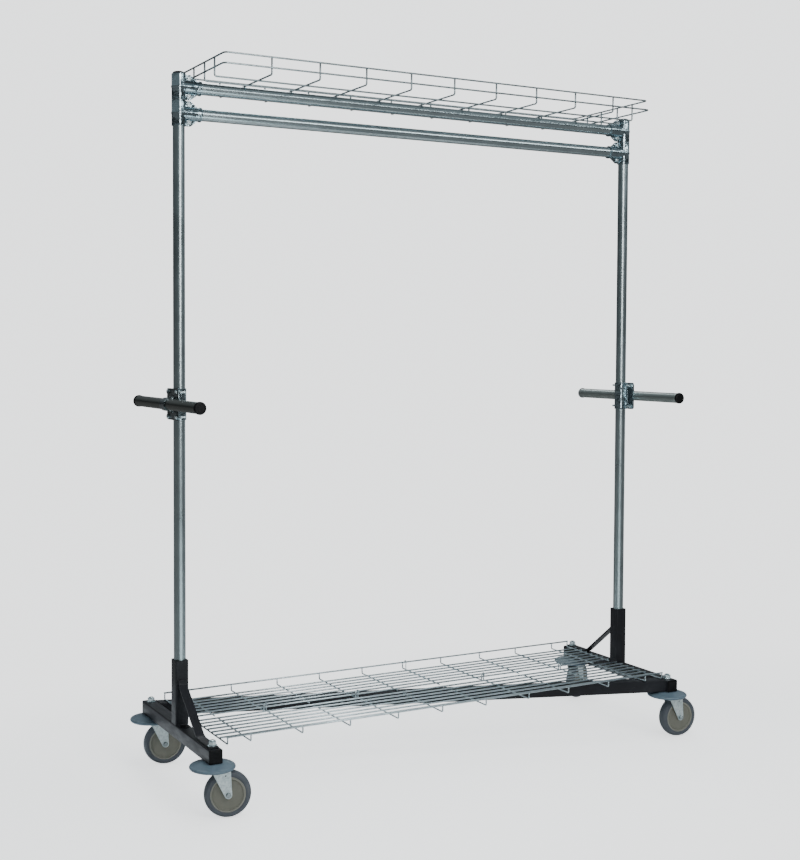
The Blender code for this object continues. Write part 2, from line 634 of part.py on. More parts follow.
def build_axle(name, swivel):
    at = (TRAIL, 0, WHEEL_R)
    face = FORK_HALF + GAP
    shaft, ends = bmesh.new(), bmesh.new()
    add_rod(shaft, AXLE_R, -face - 0.001, face + 0.009, "Y", at, 12)
    add_prism(ends, hexagon(0.0130), -face - 0.005, -face, "Y", at)
    add_prism(ends, hexagon(0.0130), face, face + 0.006, "Y", at)
    axle = add_object(f"{name}_axle_bolt", shaft, ZINC, swivel)
    cut(axle, [add_object(f"{name}_axle_ends", ends, ZINC, swivel)], "UNION")


def build_casters(root):
    for name, x, y, angle in caster_places():
        build_stem(name, x, y, root)
        build_bumper(name, x, y, root)
        swivel = empty(f"{name}_swivel", (x, y, 0), root, angle)
        build_fork(name, swivel)
        build_axle(name, swivel)
        build_wheel(name, empty(f"{name}_axle", (TRAIL, 0, WHEEL_R), swivel))


def centre_on_box(root):
    """Move the rack along X so that the origin is under the middle of its box."""
    bpy.context.view_layer.update()
    solids = [o for o in bpy.data.objects if o.type == "MESH" and not o.hide_render]
    spans = [(o.matrix_world @ v.co).x for o in solids for v in o.data.vertices]
    root.location.x = -(min(spans) + max(spans)) / 2


def main():
    clear_scene()
    root = empty("rack", (0, 0, 0))
    build_base_tubes(root)
    build_diagonal(root)
    build_sockets(root)
    build_braces(root)
    build_uprights(root)
    build_rails(root)
    build_rail_clamps(root)
    build_handle_clamps(root)
    build_handles(root)
    build_top_shelf(root)
    build_bottom_shelf(root)
    build_casters(root)
    centre_on_box(root)


main()
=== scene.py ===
"""Looks of the garment rail: finished meshes, materials, floor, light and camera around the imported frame."""
import json
from math import atan2, cos, pi, radians, sin, tau

import bmesh
import bpy
from mathutils import Matrix, Vector


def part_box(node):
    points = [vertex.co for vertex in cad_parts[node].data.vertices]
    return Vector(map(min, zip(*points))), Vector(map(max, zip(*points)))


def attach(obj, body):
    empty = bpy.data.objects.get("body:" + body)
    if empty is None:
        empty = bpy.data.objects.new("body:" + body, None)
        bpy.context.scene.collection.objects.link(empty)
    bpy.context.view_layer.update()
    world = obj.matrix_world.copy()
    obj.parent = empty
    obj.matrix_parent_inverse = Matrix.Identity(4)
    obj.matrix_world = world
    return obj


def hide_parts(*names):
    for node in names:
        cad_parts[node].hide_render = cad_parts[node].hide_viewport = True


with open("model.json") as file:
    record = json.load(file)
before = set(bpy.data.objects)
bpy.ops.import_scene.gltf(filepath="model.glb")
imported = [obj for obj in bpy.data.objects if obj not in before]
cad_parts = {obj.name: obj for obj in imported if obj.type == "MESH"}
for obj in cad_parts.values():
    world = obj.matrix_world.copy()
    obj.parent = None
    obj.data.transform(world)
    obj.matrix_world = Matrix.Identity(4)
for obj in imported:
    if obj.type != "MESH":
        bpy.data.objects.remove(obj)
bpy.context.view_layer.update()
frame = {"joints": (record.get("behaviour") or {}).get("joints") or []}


def middle(node):
    low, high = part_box(node)
    return (low + high) / 2


# Places, from the frame
LEFT_X, RIGHT_X = middle("left_upright").x, middle("right_upright").x
MIDDLE_X = (LEFT_X + RIGHT_X) / 2
BASE_BOTTOM, BASE_TOP = (corner.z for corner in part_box("left_base_tube"))
BASE_MID_Z, BASE_HALF_LENGTH = middle("left_base_tube").z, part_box("left_base_tube")[1].y
SOCKET_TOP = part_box("left_socket")[1].z
UPRIGHT_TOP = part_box("left_upright")[1].z
LOWER_RAIL_Z, UPPER_RAIL_Z = middle("lower_rail").z, middle("upper_rail").z
RAIL_HALF_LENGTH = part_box("lower_rail")[1].x - MIDDLE_X
HANDLE_Z = middle("left_handle").z
HANDLE_OFFSET = middle("right_handle").x - RIGHT_X
HANDLE_HALF_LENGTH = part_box("left_handle")[1].y
JOINTS = {joint["name"]: joint for joint in frame["joints"]}
HINGE_Z = JOINTS["shelf_fold"]["pos_m"][2]

# Sizes shared with the frame
GAP = 0.0003
TUBE_R, HANDLE_R, WALL = 0.0167, 0.015875, 0.0020
SQUARE = 0.0381
SHEET = 0.0026
STEM_Y = 0.247
WIRE_R, THIN_WIRE_R = 0.0025, 0.0020
WHEEL_R, WHEEL_HALF_WIDTH, TRAIL = 0.0635, 0.016, 0.040
CORNERS = ("front_left", "back_left", "front_right", "back_right")
SIDES, FACES = (("left", LEFT_X), ("right", RIGHT_X)), (("front", -1), ("back", 1))
ALONG_X, ALONG_Y, ALONG_Z = Vector((1, 0, 0)), Vector((0, 1, 0)), Vector((0, 0, 1))


# Meshes

EDGE_ANGLE = 32  # degrees between two faces, past which their edge is sharp
DOME_REACH, DOME_WIDTH = 0.3, 0.6  # of a wire's radius, at its ends
BEAD_PITCH, BEAD_SIDES = 0.0016, 8
WASHER = 0.0012
CUT = 0.1  # reach of a cutter that goes right through


def new_object(name, data):
    made = bpy.data.objects.new(name, data)
    bpy.context.scene.collection.objects.link(made)
    return made


def new_mesh(name, bm):
    """An object made of a bmesh, which is used up."""
    mesh = bpy.data.meshes.new(name)
    bm.to_mesh(mesh)
    bm.free()
    return new_object(name, mesh)


def new_solid(name, bm):
    bmesh.ops.recalc_face_normals(bm, faces=bm.faces)
    return new_mesh(name, bm)


def finish_piece(name, bm, look, body, slot, replaced=(), sharp=EDGE_ANGLE, place=None, bevel=0.0):
    """Make the object, put it in place and hang it under its body."""
    piece = new_solid(name, bm)
    piece.data.materials.append(look)
    piece.data.shade_smooth()
    piece.data.set_sharp_from_angle(angle=radians(sharp))
    if place is not None:
        piece.matrix_world = place
    if bevel:
        edge = piece.modifiers.new("rounded_edges", "BEVEL")
        edge.width, edge.segments = bevel, 2
        edge.limit_method = "ANGLE"
        edge.angle_limit = radians(EDGE_ANGLE)
        edge.harden_normals = True
    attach(piece, body)
    if replaced:
        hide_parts(*replaced)


def span(way, near, far):
    """Two distances on the side that way, 1 or -1, points to, the lower one first."""
    return sorted((way * near, way * far))


def turned(axis, centre):
    """The matrix that lays the Z axis along another one, at a centre."""
    rotation = {"X": Matrix.Rotation(pi / 2, 4, "Y"), "Y": Matrix.Rotation(-pi / 2, 4, "X"),
                "Z": Matrix.Identity(4)}
    return Matrix.Translation(centre) @ rotation[axis]


def join_rings(bm, lower, upper):
    """Faces between two closed rings of points. A ring of one point is a pole."""
    count = max(len(lower), len(upper))
    for i in range(count):
        j = (i + 1) % count
        corners = [ring[k % len(ring)] for ring, k in ((lower, i), (lower, j), (upper, j), (upper, i))]
        face = list(dict.fromkeys(corners))
        if len(face) > 2:
            bm.faces.new(face)


def loft(bm, rings):
    """A skin over a row of rings, with a face on each end."""
    bm.faces.new(rings[0])
    bm.faces.new(rings[-1])
    for lower, upper in zip(rings, rings[1:]):
        join_rings(bm, lower, upper)


def add_lathe(bm, profile, sides=64, axis="Z", centre=(0, 0, 0)):
    """Turn a closed profile of (radius, height) points about an axis. Radius 0 makes a pole."""
    place = turned(axis, centre)
    circle = [(cos(tau * i / sides), sin(tau * i / sides)) for i in range(sides)]
    rings = []
    for radius, height in profile:
        spots = [(radius * u, radius * v) for u, v in circle] if radius else [(0, 0)]
        rings.append([bm.verts.new(place @ Vector((x, y, height))) for x, y in spots])
    for lower, upper in zip(rings, rings[1:] + rings[:1]):
        join_rings(bm, lower, upper)


def add_rod(bm, radius, low, high, axis="Z", centre=(0, 0, 0), sides=64, chamfer=0.0):
    """A closed rod, its ends turned off by a small chamfer."""
    side = [(radius, low), (radius, high)]
    if chamfer:
        near, far, narrow = low + chamfer, high - chamfer, radius - chamfer
        side = [(narrow, low), (radius, near), (radius, far), (narrow, high)]
    add_lathe(bm, [(0, low), *side, (0, high)], sides, axis, centre)


def add_tube(bm, outer, inner, low, high, axis="Z", centre=(0, 0, 0), sides=72):
    """A pipe with slightly rounded cut ends."""
    turned_off = 0.0004
    near, far = low + turned_off, high - turned_off
    outside = [(outer - turned_off, low), (outer, near), (outer, far), (outer - turned_off, high)]
    inside = [(inner + turned_off, high), (inner, far), (inner, near), (inner + turned_off, low)]
    add_lathe(bm, outside + inside, sides, axis, centre)


def add_prism(bm, outline, low, high, axis="Z", centre=(0, 0, 0)):
    """Extrude a closed outline. Axis Z takes (x, y) points, Y takes (x, z) and X takes (y, z)."""
    def point(u, v, w):
        return Vector({"Z": (u, v, w), "Y": (u, w, v), "X": (w, u, v)}[axis]) + Vector(centre)

    loft(bm, [[bm.verts.new(point(u, v, w)) for u, v in outline] for w in (low, high)])


def arc(centre, radius, start, end, steps):
    """Points of an arc in a plane, angles in degrees."""
    angles = [radians(start + (end - start) * i / steps) for i in range(steps + 1)]
    return [(centre[0] + radius * cos(a), centre[1] + radius * sin(a)) for a in angles]


def rounded_box(half_u, half_v, radius):
    """The outline of a rectangle with rounded corners."""
    u, v = half_u - radius, half_v - radius
    corners = ((u, v, 0), (-u, v, 90), (-u, -v, 180), (u, -v, 270))
    return [p for x, y, start in corners for p in arc((x, y), radius, start, start + 90, 5)]


def hexagon(across_flats, turn=0.0):
    radius = across_flats / 2 / cos(pi / 6)
    return [(radius * cos(turn + i * pi / 3), radius * sin(turn + i * pi / 3)) for i in range(6)]


def rounded_bends(corners, radius, steps=6):
    """Replace each inner right-angled corner of a 3-D path with an arc."""
    corners = [Vector(c) for c in corners]
    path = [corners[0]]
    for before, corner, after in zip(corners, corners[1:], corners[2:]):
        inward, outward = (before - corner).normalized(), (after - corner).normalized()
        start, end = corner + inward * radius, corner + outward * radius
        centre = start + end - corner
        for i in range(steps + 1):
            swing = pi / 2 * i / steps
            path.append(centre + (start - centre) * cos(swing) + (end - centre) * sin(swing))
    return path + [corners[-1]]


def add_wire(bm, points, radius, sides=12, closed=False):
    """A round wire along a path, mitred at each point, with domed ends."""
    points = [Vector(p) for p in points]
    count = len(points)
    ends = zip(points, points[1:] + points[:1] if closed else points[1:])
    runs = [(after - before).normalized() for before, after in ends]
    along = runs[0]
    side = along.cross(ALONG_Z if abs(along.z) < 0.9 else ALONG_X).normalized()
    over = along.cross(side)
    spokes = [side * cos(tau * k / sides) + over * sin(tau * k / sides) for k in range(sides)]
    rings = []

    def add_ring(centre, scale, normal, direction):
        """Spokes of a cut that is square to the normal, slid along the direction of the wire."""
        ring = [s * radius * scale for s in spokes]
        ring = [o - direction * (o.dot(normal) / direction.dot(normal)) for o in ring]
        rings.append([bm.verts.new(centre + o) for o in ring])

    if not closed:
        add_ring(points[0] - along * radius * DOME_REACH, DOME_WIDTH, along, along)
    for i, point in enumerate(points):
        after = runs[i % len(runs)]
        before = runs[i - 1] if closed or i > 0 else after
        after = before if not closed and i == count - 1 else after
        first = closed and i == 0
        add_ring(point, 1.0, (before + after).normalized(), after if first else before)
        if not first:
            turn = before.rotation_difference(after)
            spokes = [turn @ s for s in spokes]
    if closed:
        for lower, upper in zip(rings, rings[1:] + rings[:1]):
            join_rings(bm, lower, upper)
    else:
        add_ring(points[-1] + runs[-1] * radius * DOME_REACH, DOME_WIDTH, runs[-1], runs[-1])
        loft(bm, rings)


def add_bead(bm, start, end, radius, seed=0.0):
    """A weld bead: a low wavy ridge between two points, sunk halfway into the corner it fills."""
    start, end = Vector(start), Vector(end)
    steps = max(4, int((end - start).length / BEAD_PITCH))
    along = (end - start).normalized()
    side = along.cross(Vector((0.3, 0.2, 1))).normalized()
    over = along.cross(side)
    rings = []
    for i in range(steps + 1):
        t = i / steps
        swell = 0.82 + 0.18 * sin(i * 2.1 + seed) ** 2
        size = radius * swell * min(1.0, 0.35 + 6 * min(t, 1 - t))
        centre = start + (end - start) * t + side * 0.0003 * sin(i * 1.3 + seed)
        angles = [tau * k / BEAD_SIDES for k in range(BEAD_SIDES)]
        rings.append([bm.verts.new(centre + (side * cos(a) + over * sin(a)) * size) for a in angles])
    loft(bm, rings)


def add_hex_head(bm, bolt, axis, way, centre, face, thick, tip):
    """A washer on a face, a hex head or nut with a chamfered crown on it, and a shaft that ends at tip.
    Bolt holds the shaft's radius, the width across flats and the washer's radius."""
    shaft_r, across, washer_r = bolt
    seat, crown = face + WASHER, across / 2
    washer = [(0, face), (washer_r, face), (washer_r, seat), (0, seat)]
    dome = [(0, seat + thick * 0.5), (crown * 0.99, seat + thick * 0.5), (crown * 0.99, seat + thick * 0.88),
            (crown * 0.86, seat + thick), (0, seat + thick)]
    add_lathe(bm, [(r, way * h) for r, h in washer], 32, axis, centre)
    add_prism(bm, hexagon(across, pi / 6), *span(way, seat, seat + thick * 0.86), axis, centre)
    add_lathe(bm, [(r, way * h) for r, h in dome], 32, axis, centre)
    add_rod(bm, shaft_r, *span(way, seat, tip), axis, centre, 24, 0.0006)


def apply_booleans(bm, tools):
    """The bmesh after a list of (operation, tool bmesh) steps."""
    base = new_solid("boolean_base", bm)
    others = []
    for i, (operation, tool) in enumerate(tools):
        other = new_solid(f"boolean_tool_{i}", tool)
        step = base.modifiers.new(f"step_{i}", "BOOLEAN")
        step.operation = operation
        step.solver = "MANIFOLD"
        step.object = other
        others.append(other)
    bpy.context.view_layer.update()
    result = base.evaluated_get(bpy.context.evaluated_depsgraph_get()).to_mesh()
    out = bmesh.new()
    out.from_mesh(result)
    bmesh.ops.remove_doubles(out, verts=out.verts, dist=0.00001)
    for made in [base, *others]:
        bpy.data.objects.remove(made)
    return out


# Materials

def set_inputs(node, inputs):
    """Set a node's inputs by name. An underscore stands for a space in the name."""
    for socket, value in inputs.items():
        node.inputs[socket.replace("_", " ")].default_value = value
    return node


def add_node(tree, kind, **inputs):
    return set_inputs(tree.nodes.new("ShaderNode" + kind), inputs)


def add_ramp(tree, value, stops):
    """A colour ramp that reads a value. Its stops are (position, colour) pairs."""
    node = add_node(tree, "ValToRGB")
    elements = node.color_ramp.elements
    for element, (position, colour) in zip(elements, (stops[0], stops[-1])):
        element.position, element.color = position, (*colour, 1.0)
    for position, colour in stops[1:-1]:
        elements.new(position).color = (*colour, 1.0)
    tree.links.new(value, node.inputs["Fac"])
    return node.outputs["Color"]


class Look:
    """A Principled material that is being wired."""

    def __init__(self, name, **inputs):
        self.material = bpy.data.materials.new(name)
        self.material.use_nodes = True
        self.tree = self.material.node_tree
        self.link = self.tree.links.new
        self.shader = set_inputs(self.tree.nodes["Principled BSDF"], inputs)
        self.coords = self.add("TexCoord").outputs["Object"]

    def add(self, kind, **inputs):
        return add_node(self.tree, kind, **inputs)

    def feed(self, socket, value):
        """Set an input to a number or a colour, or link it to another node's output."""
        if isinstance(value, tuple):
            socket.default_value = (*value, 1.0)
        elif isinstance(value, (int, float)):
            socket.default_value = value
        else:
            self.link(value, socket)

    def wire(self, value, socket):
        self.link(value, self.shader.inputs[socket])

    def stretched(self, stretch):
        mapping = self.add("Mapping", Scale=stretch)
        self.link(self.coords, mapping.inputs["Vector"])
        return mapping.outputs["Vector"]

    def noise(self, scale, detail=3.0, stretch=(1, 1, 1), distortion=0.0):
        node = self.add("TexNoise", Scale=scale, Detail=detail, Roughness=0.55, Distortion=distortion)
        self.link(self.stretched(stretch), node.inputs["Vector"])
        return node.outputs["Fac"]

    def ramp(self, value, stops):
        return add_ramp(self.tree, value, stops)

    def remap(self, value, low, high, out_low, out_high):
        node = self.add("MapRange", From_Min=low, From_Max=high, To_Min=out_low, To_Max=out_high)
        self.link(value, node.inputs["Value"])
        return node.outputs["Result"]

    def total(self, a, b):
        node = self.add("Math")
        node.operation = "ADD"
        for socket, value in zip(node.inputs, (a, b)):
            self.feed(socket, value)
        return node.outputs["Value"]

    def blend(self, factor, a, b, mode="MIX"):
        node = self.add("Mix")
        node.data_type = "RGBA"
        node.blend_type = mode
        colours = [s for s in node.inputs if s.type == "RGBA"]
        for socket, value in zip((node.inputs[0], *colours), (factor, a, b)):
            self.feed(socket, value)
        return [s for s in node.outputs if s.type == "RGBA"][0]

    def bump(self, height, strength, distance=0.0004, before=None):
        node = self.add("Bump", Strength=strength, Distance=distance)
        self.link(height, node.inputs["Height"])
        if before is not None:
            self.link(before, node.inputs["Normal"])
        self.wire(node.outputs["Normal"], "Normal")
        return node.outputs["Normal"]


def shade(colour, factor):
    return tuple(c * factor for c in colour)


def zinc(name, colour, roughness, along="Z", streaks=1.0, relief=0.0, mottle=0.0):
    """Bright zinc plating on drawn steel: long faint draw lines, cloudy patches and a few dull smudges.
    Relief adds the uneven dents of pressed sheet, and mottle adds spangled patches."""
    look = Look(name, Metallic=1.0)
    fine = {"X": (0.02, 1, 1), "Y": (1, 0.02, 1), "Z": (1, 1, 0.02)}[along]
    clouds = look.noise(9, 4, distortion=0.6)
    lines = look.noise(700, 2, fine)
    smudge = look.noise(26, 5, distortion=1.4)
    base = look.ramp(clouds, [(0.30, shade(colour, 0.90)), (0.52, colour), (0.74, shade(colour, 1.08))])
    tone = look.ramp(lines, [(0.35, (0.90, 0.91, 0.93)), (0.65, (1.0, 1.0, 1.0))])
    base = look.blend(0.2 * streaks, base, tone, "MULTIPLY")
    dull = look.ramp(smudge, [(0.60, (1, 1, 1)), (0.78, (0.86, 0.88, 0.90))])
    base = look.blend(1.0, base, dull, "MULTIPLY")
    if mottle:
        patches = look.noise(130, 4, distortion=1.0)
        spangle = look.ramp(patches, [(0.36, (0.62, 0.66, 0.68)), (0.60, (1.0, 1.0, 1.0))])
        base = look.blend(mottle, base, spangle, "MULTIPLY")
    look.wire(base, "Base Color")
    rough = look.remap(clouds, 0.3, 0.75, roughness * 0.88, roughness * 1.12)
    spots = look.remap(smudge, 0.58, 0.80, 0.0, 0.07)
    look.wire(look.total(rough, spots), "Roughness")
    drawn = look.bump(lines, 0.02 * streaks, 0.0001)
    if relief:
        look.bump(look.noise(75, 2, distortion=0.4), relief, 0.004, drawn)
    return look.material


def powder_coat():
    """Black powder coat: orange peel, faint dust and a few rubbed patches."""
    look = Look("black_powder_coat", Specular_IOR_Level=0.22)
    peel = look.noise(900, 2)
    dust = look.noise(7, 5, distortion=0.8)
    rubs = look.noise(60, 6, (1, 0.25, 1), 1.0)
    body = look.ramp(dust, [(0.30, (0.011, 0.011, 0.013)), (0.55, (0.016, 0.017, 0.021)),
                            (0.80, (0.026, 0.028, 0.033))])
    worn = look.ramp(rubs, [(0.66, (0, 0, 0)), (0.80, (0.025, 0.026, 0.028))])
    look.wire(look.blend(1.0, body, worn, "ADD"), "Base Color")
    look.wire(look.remap(rubs, 0.35, 0.75, 0.34, 0.52), "Roughness")
    look.bump(peel, 0.22)
    return look.material


def moulded(name, colour, roughness, specular=0.5):
    """Moulded plastic with a fine spark-eroded texture and slightly uneven colour."""
    look = Look(name, Specular_IOR_Level=specular)
    clouds = look.noise(22, 4, distortion=0.5)
    pits = look.noise(420, 3)
    look.wire(look.ramp(clouds, [(0.3, shade(colour, 0.82)), (0.7, shade(colour, 1.15))]), "Base Color")
    look.wire(look.remap(clouds, 0.3, 0.7, roughness - 0.07, roughness + 0.09), "Roughness")
    look.bump(pits, 0.25)
    return look.material


def hub_plastic(colour, rim_colour):
    """Moulded plastic that is lighter in colour at its rim, next to the tyre."""
    look = Look("hub_plastic")
    from_axle = look.add("VectorMath")
    from_axle.operation = "LENGTH"
    look.feed(from_axle.inputs[0], look.stretched((1, 0, 1)))
    clouds = look.noise(26, 4, distortion=0.5)
    base = look.ramp(clouds, [(0.3, shade(colour, 0.84)), (0.7, shade(colour, 1.14))])
    rim = look.remap(from_axle.outputs["Value"], 0.0432, 0.0440, 0.0, 0.85)
    look.wire(look.blend(rim, base, rim_colour), "Base Color")
    look.wire(look.remap(clouds, 0.3, 0.7, 0.42, 0.56), "Roughness")
    look.bump(look.noise(500, 3), 0.15)
    return look.material


def rubber(name, colour, dust, roughness=0.6, spread=0.12):
    """Rubber with a dusty bloom that gathers in cloudy patches."""
    look = Look(name)
    bloom = look.noise(30, 6, distortion=1.2)
    specks = look.noise(900, 2)
    base = look.ramp(bloom, [(0.35, shade(colour, 0.85)), (0.58, colour), (0.80, dust)])
    grit = look.ramp(specks, [(0.30, (0.86, 0.86, 0.86)), (0.60, (1.0, 1.0, 1.0))])
    look.wire(look.blend(1.0, base, grit, "MULTIPLY"), "Base Color")
    look.wire(look.remap(bloom, 0.35, 0.8, roughness - spread, roughness + spread), "Roughness")
    look.bump(specks, 0.25)
    return look.material


ZINC_X = zinc("zinc_along_x", (0.52, 0.61, 0.64), 0.22, along="X", streaks=0.12)
ZINC_Y = zinc("zinc_along_y", (0.34, 0.38, 0.37), 0.42, along="Y")
# A darker copy of the handle zinc for the left handle: its darker colour is painted shade, standing in for the
# dark surroundings the tube reflects
ZINC_Y_PAINTED_SHADE = zinc("zinc_along_y_dark", (0.105, 0.115, 0.105), 0.36, along="Y")
ZINC_Z = zinc("zinc_along_z", (0.42, 0.50, 0.52), 0.30, streaks=0.6)
PRESSED = zinc("zinc_pressed", (0.38, 0.47, 0.51), 0.12, streaks=0.35, relief=0.38, mottle=0.8)
# A darker copy of the pressed zinc for the left handle's plate: its darker colour is painted shade for the
# dark surroundings it reflects
PRESSED_PAINTED_SHADE = zinc("zinc_pressed_dark", (0.15, 0.18, 0.19), 0.24, streaks=0.35, relief=0.4, mottle=0.8)
HARDWARE = zinc("zinc_hardware", (0.66, 0.76, 0.79), 0.22, streaks=0.3)
AXLE_ZINC = zinc("zinc_axle", (0.34, 0.39, 0.40), 0.26, streaks=0.3)
FORK_ZINC = zinc("zinc_fork", (0.76, 0.85, 0.86), 0.42, streaks=0.4, relief=0.12, mottle=0.7)
WIRE_ZINC = zinc("zinc_wire", (0.34, 0.40, 0.42), 0.32, along="X", streaks=0.4)
SHELF_ZINC = zinc("zinc_shelf_wire", (0.54, 0.63, 0.67), 0.34, along="X", streaks=0.4)
COAT = powder_coat()
CAP = moulded("black_cap_plastic", (0.006, 0.006, 0.007), 0.46, specular=0.15)
CAP_GREY = moulded("cap_grey", (0.17, 0.19, 0.19), 0.42)
HUB = hub_plastic((0.165, 0.165, 0.135), rim_colour=(0.27, 0.27, 0.235))
TYRE = rubber("tyre_rubber", (0.082, 0.095, 0.112), (0.135, 0.145, 0.155))
BUMPER = rubber("bumper_rubber", (0.125, 0.185, 0.235), (0.150, 0.205, 0.250), roughness=0.40, spread=0.04)

# Look, body and slot of pieces that are alike
BLACK_FRAME = (COAT, "rack", "black_frame")
END_CAP = (CAP, "rack", "end_cap")
CLAMP_BOLTS = (HARDWARE, "rack", "clamp")


# Base

SQUARE_CORNER, SQUARE_BORE_CORNER, SOCKET_BORE_CORNER = 0.0032, 0.0014, 0.0010
PLUG_CORNER, HOLE_PLUG_Y = 0.0030, 0.0406
BRACE_THICK, BRACE_HALF_WIDTH = 0.005, 0.0125
BRACE_KNEE_Y, BRACE_TOP_Z, BRACE_FOOT_Y = 0.160, 0.316, STEM_Y + 0.016
BEAD_INSET = 0.003  # how far a bead stops short of each end of its seam
SOCKET_BEAD, DIAGONAL_BEAD, BRACE_BEAD = 0.0026, 0.0022, 0.0018


def build_base():
    section = rounded_box(SQUARE / 2, SQUARE / 2, SQUARE_CORNER)
    bore = rounded_box(SQUARE / 2 - WALL, SQUARE / 2 - WALL, SQUARE_BORE_CORNER)
    for side, x in SIDES:
        bm = bmesh.new()
        ends = [Vector((x, y, BASE_MID_Z)) for y in (-BASE_HALF_LENGTH, BASE_HALF_LENGTH)]
        add_square_tube(bm, section, bore, ends, ALONG_X, ALONG_Z)
        finish_piece(f"{side}_base_tube_skin", bm, *BLACK_FRAME, [f"{side}_base_tube"])
        build_plugs(side, x)
        build_socket(side, x, section)
        build_brace(side, x)
    build_diagonal(section, bore)


def add_square_tube(bm, section, bore, ends, u_axis, v_axis, lean=0.0):
    """A hollow section between two points. Lean slides the cut ends along the tube, per metre of u."""
    along = (ends[1] - ends[0]).normalized()

    def ring(outline, end):
        return [bm.verts.new(end + u_axis * u + v_axis * v + along * lean * u) for u, v in outline]

    outer, inner = ([ring(outline, end) for end in ends] for outline in (section, bore))
    for near, far in (outer, inner, (outer[0], inner[0]), (outer[1], inner[1])):
        join_rings(bm, near, far)


def build_plugs(side, x):
    """A domed square plug in each end of a base tube, and a round one in its spare hole."""
    steps = ((0.0165, -0.010), (0.0165, 0.0002), (0.0186, 0.0004), (0.0189, 0.0014), (0.0184, 0.0028),
             (0.0168, 0.0035), (0.0120, 0.0035), (0.0105, 0.0028))
    for face, way in FACES:
        bm = bmesh.new()
        loft(bm, [[bm.verts.new((x + u, way * (BASE_HALF_LENGTH + reach), BASE_MID_Z + v))
                   for u, v in rounded_box(half, half, PLUG_CORNER)] for half, reach in steps])
        finish_piece(f"{side}_base_{face}_plug", bm, *END_CAP)
    bm = bmesh.new()
    top = BASE_TOP
    profile = [(0, top - 0.001), (0.0135, top - 0.001), (0.0135, top + 0.0008), (0.0125, top + 0.0020),
               (0.0090, top + 0.0029), (0, top + 0.0033)]
    add_lathe(bm, profile, 48, centre=(x, -HOLE_PLUG_Y if side == "left" else HOLE_PLUG_Y, 0))
    finish_piece(f"{side}_base_hole_plug", bm, *END_CAP)


def build_socket(side, x, section):
    bm = bmesh.new()
    bore = rounded_box(TUBE_R + GAP, TUBE_R + GAP, SOCKET_BORE_CORNER)
    ends = [Vector((x, 0, z)) for z in (BASE_TOP + GAP, SOCKET_TOP)]
    add_square_tube(bm, section, bore, ends, ALONG_X, ALONG_Y)
    finish_piece(f"{side}_socket_skin", bm, *BLACK_FRAME, [f"{side}_socket"], bevel=0.0004)
    bm = bmesh.new()
    reach, z = SQUARE / 2 + 0.0003, BASE_TOP + 0.0006
    near, far = x - reach + BEAD_INSET, x + reach - BEAD_INSET
    for way in (-1, 1):
        add_bead(bm, (near, way * reach, z), (far, way * reach, z), SOCKET_BEAD, way)
    finish_piece(f"{side}_socket_weld", bm, *BLACK_FRAME, sharp=60)


def build_brace(side, x):
    """Flat bar: a foot under the stem nut, a bend, a slope, a bend and an end welded to the socket."""
    way = -1 if side == "left" else 1
    half, half_width = BRACE_THICK / 2, BRACE_HALF_WIDTH
    face, floor = SQUARE / 2 + GAP, BASE_TOP + GAP
    knee, top = BRACE_KNEE_Y, BRACE_TOP_Z
    line = [(BRACE_FOOT_Y, floor + half), (knee + 0.010, floor + half), (knee - 0.003, floor + half + 0.0035),
            (knee - 0.010, floor + half + 0.0092), (face + half + 0.007, top - 0.0185),
            (face + half + 0.0016, top - 0.0135), (face + half, top - 0.008), (face + half, top)]
    bm = bmesh.new()
    rings = []
    for i, (y, z) in enumerate(line):
        before, after = line[max(0, i - 1)], line[min(len(line) - 1, i + 1)]
        run = Vector((after[0] - before[0], after[1] - before[1])).normalized()
        across = Vector((-run.y, run.x)) * half
        corners = ((-half_width, 1), (half_width, 1), (half_width, -1), (-half_width, -1))
        rings.append([bm.verts.new((x + u, way * (y + across.x * s), z + across.y * s)) for u, s in corners])
    loft(bm, rings)
    finish_piece(f"{side}_brace_bar", bm, *BLACK_FRAME, [f"{side}_brace"], bevel=0.0007)
    bm = bmesh.new()
    seam = way * (face + 0.0006)
    for u in (-half_width, half_width):
        add_bead(bm, (x + u, seam, top - 0.014), (x + u, seam, top - 0.001), BRACE_BEAD, u)
    seam = way * (face + 0.001)
    add_bead(bm, (x - half_width, seam, top), (x + half_width, seam, top), BRACE_BEAD, 2.0)
    finish_piece(f"{side}_brace_weld", bm, *BLACK_FRAME, sharp=60)


def build_diagonal(section, bore):
    low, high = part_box("diagonal_tube")
    cut_width = SQUARE * 1.05  # across the tube where its end is cut, along the base tube
    slope = -(high.y - low.y - cut_width) / (high.x - low.x)
    ends = [Vector((x, (x - MIDDLE_X) * slope, BASE_MID_Z)) for x in (low.x, high.x)]
    along = (ends[1] - ends[0]).normalized()
    across = Vector((-along.y, along.x, 0))
    bm = bmesh.new()
    add_square_tube(bm, section, bore, ends, across, ALONG_Z, -across.x / along.x)
    finish_piece("diagonal_tube_skin", bm, *BLACK_FRAME, ["diagonal_tube"])
    bm = bmesh.new()
    half = SQUARE / 2 / abs(along.x)
    low_z, high_z = BASE_BOTTOM + BEAD_INSET, BASE_TOP - BEAD_INSET
    for end, way in zip(ends, (-1, 1)):
        near, far, x = end.y - half, end.y + half, end.x + way * 0.0002
        for z in (BASE_TOP - 0.0004, BASE_BOTTOM + 0.0004):
            add_bead(bm, (x, near + BEAD_INSET, z), (x, far - BEAD_INSET, z), DIAGONAL_BEAD, end.x + z)
        for y, seed in ((near, -half), (far, half)):
            add_bead(bm, (end.x, y, low_z), (end.x, y, high_z), DIAGONAL_BEAD, seed)
    finish_piece("diagonal_weld", bm, *BLACK_FRAME, sharp=60)


# Tubes and clamps

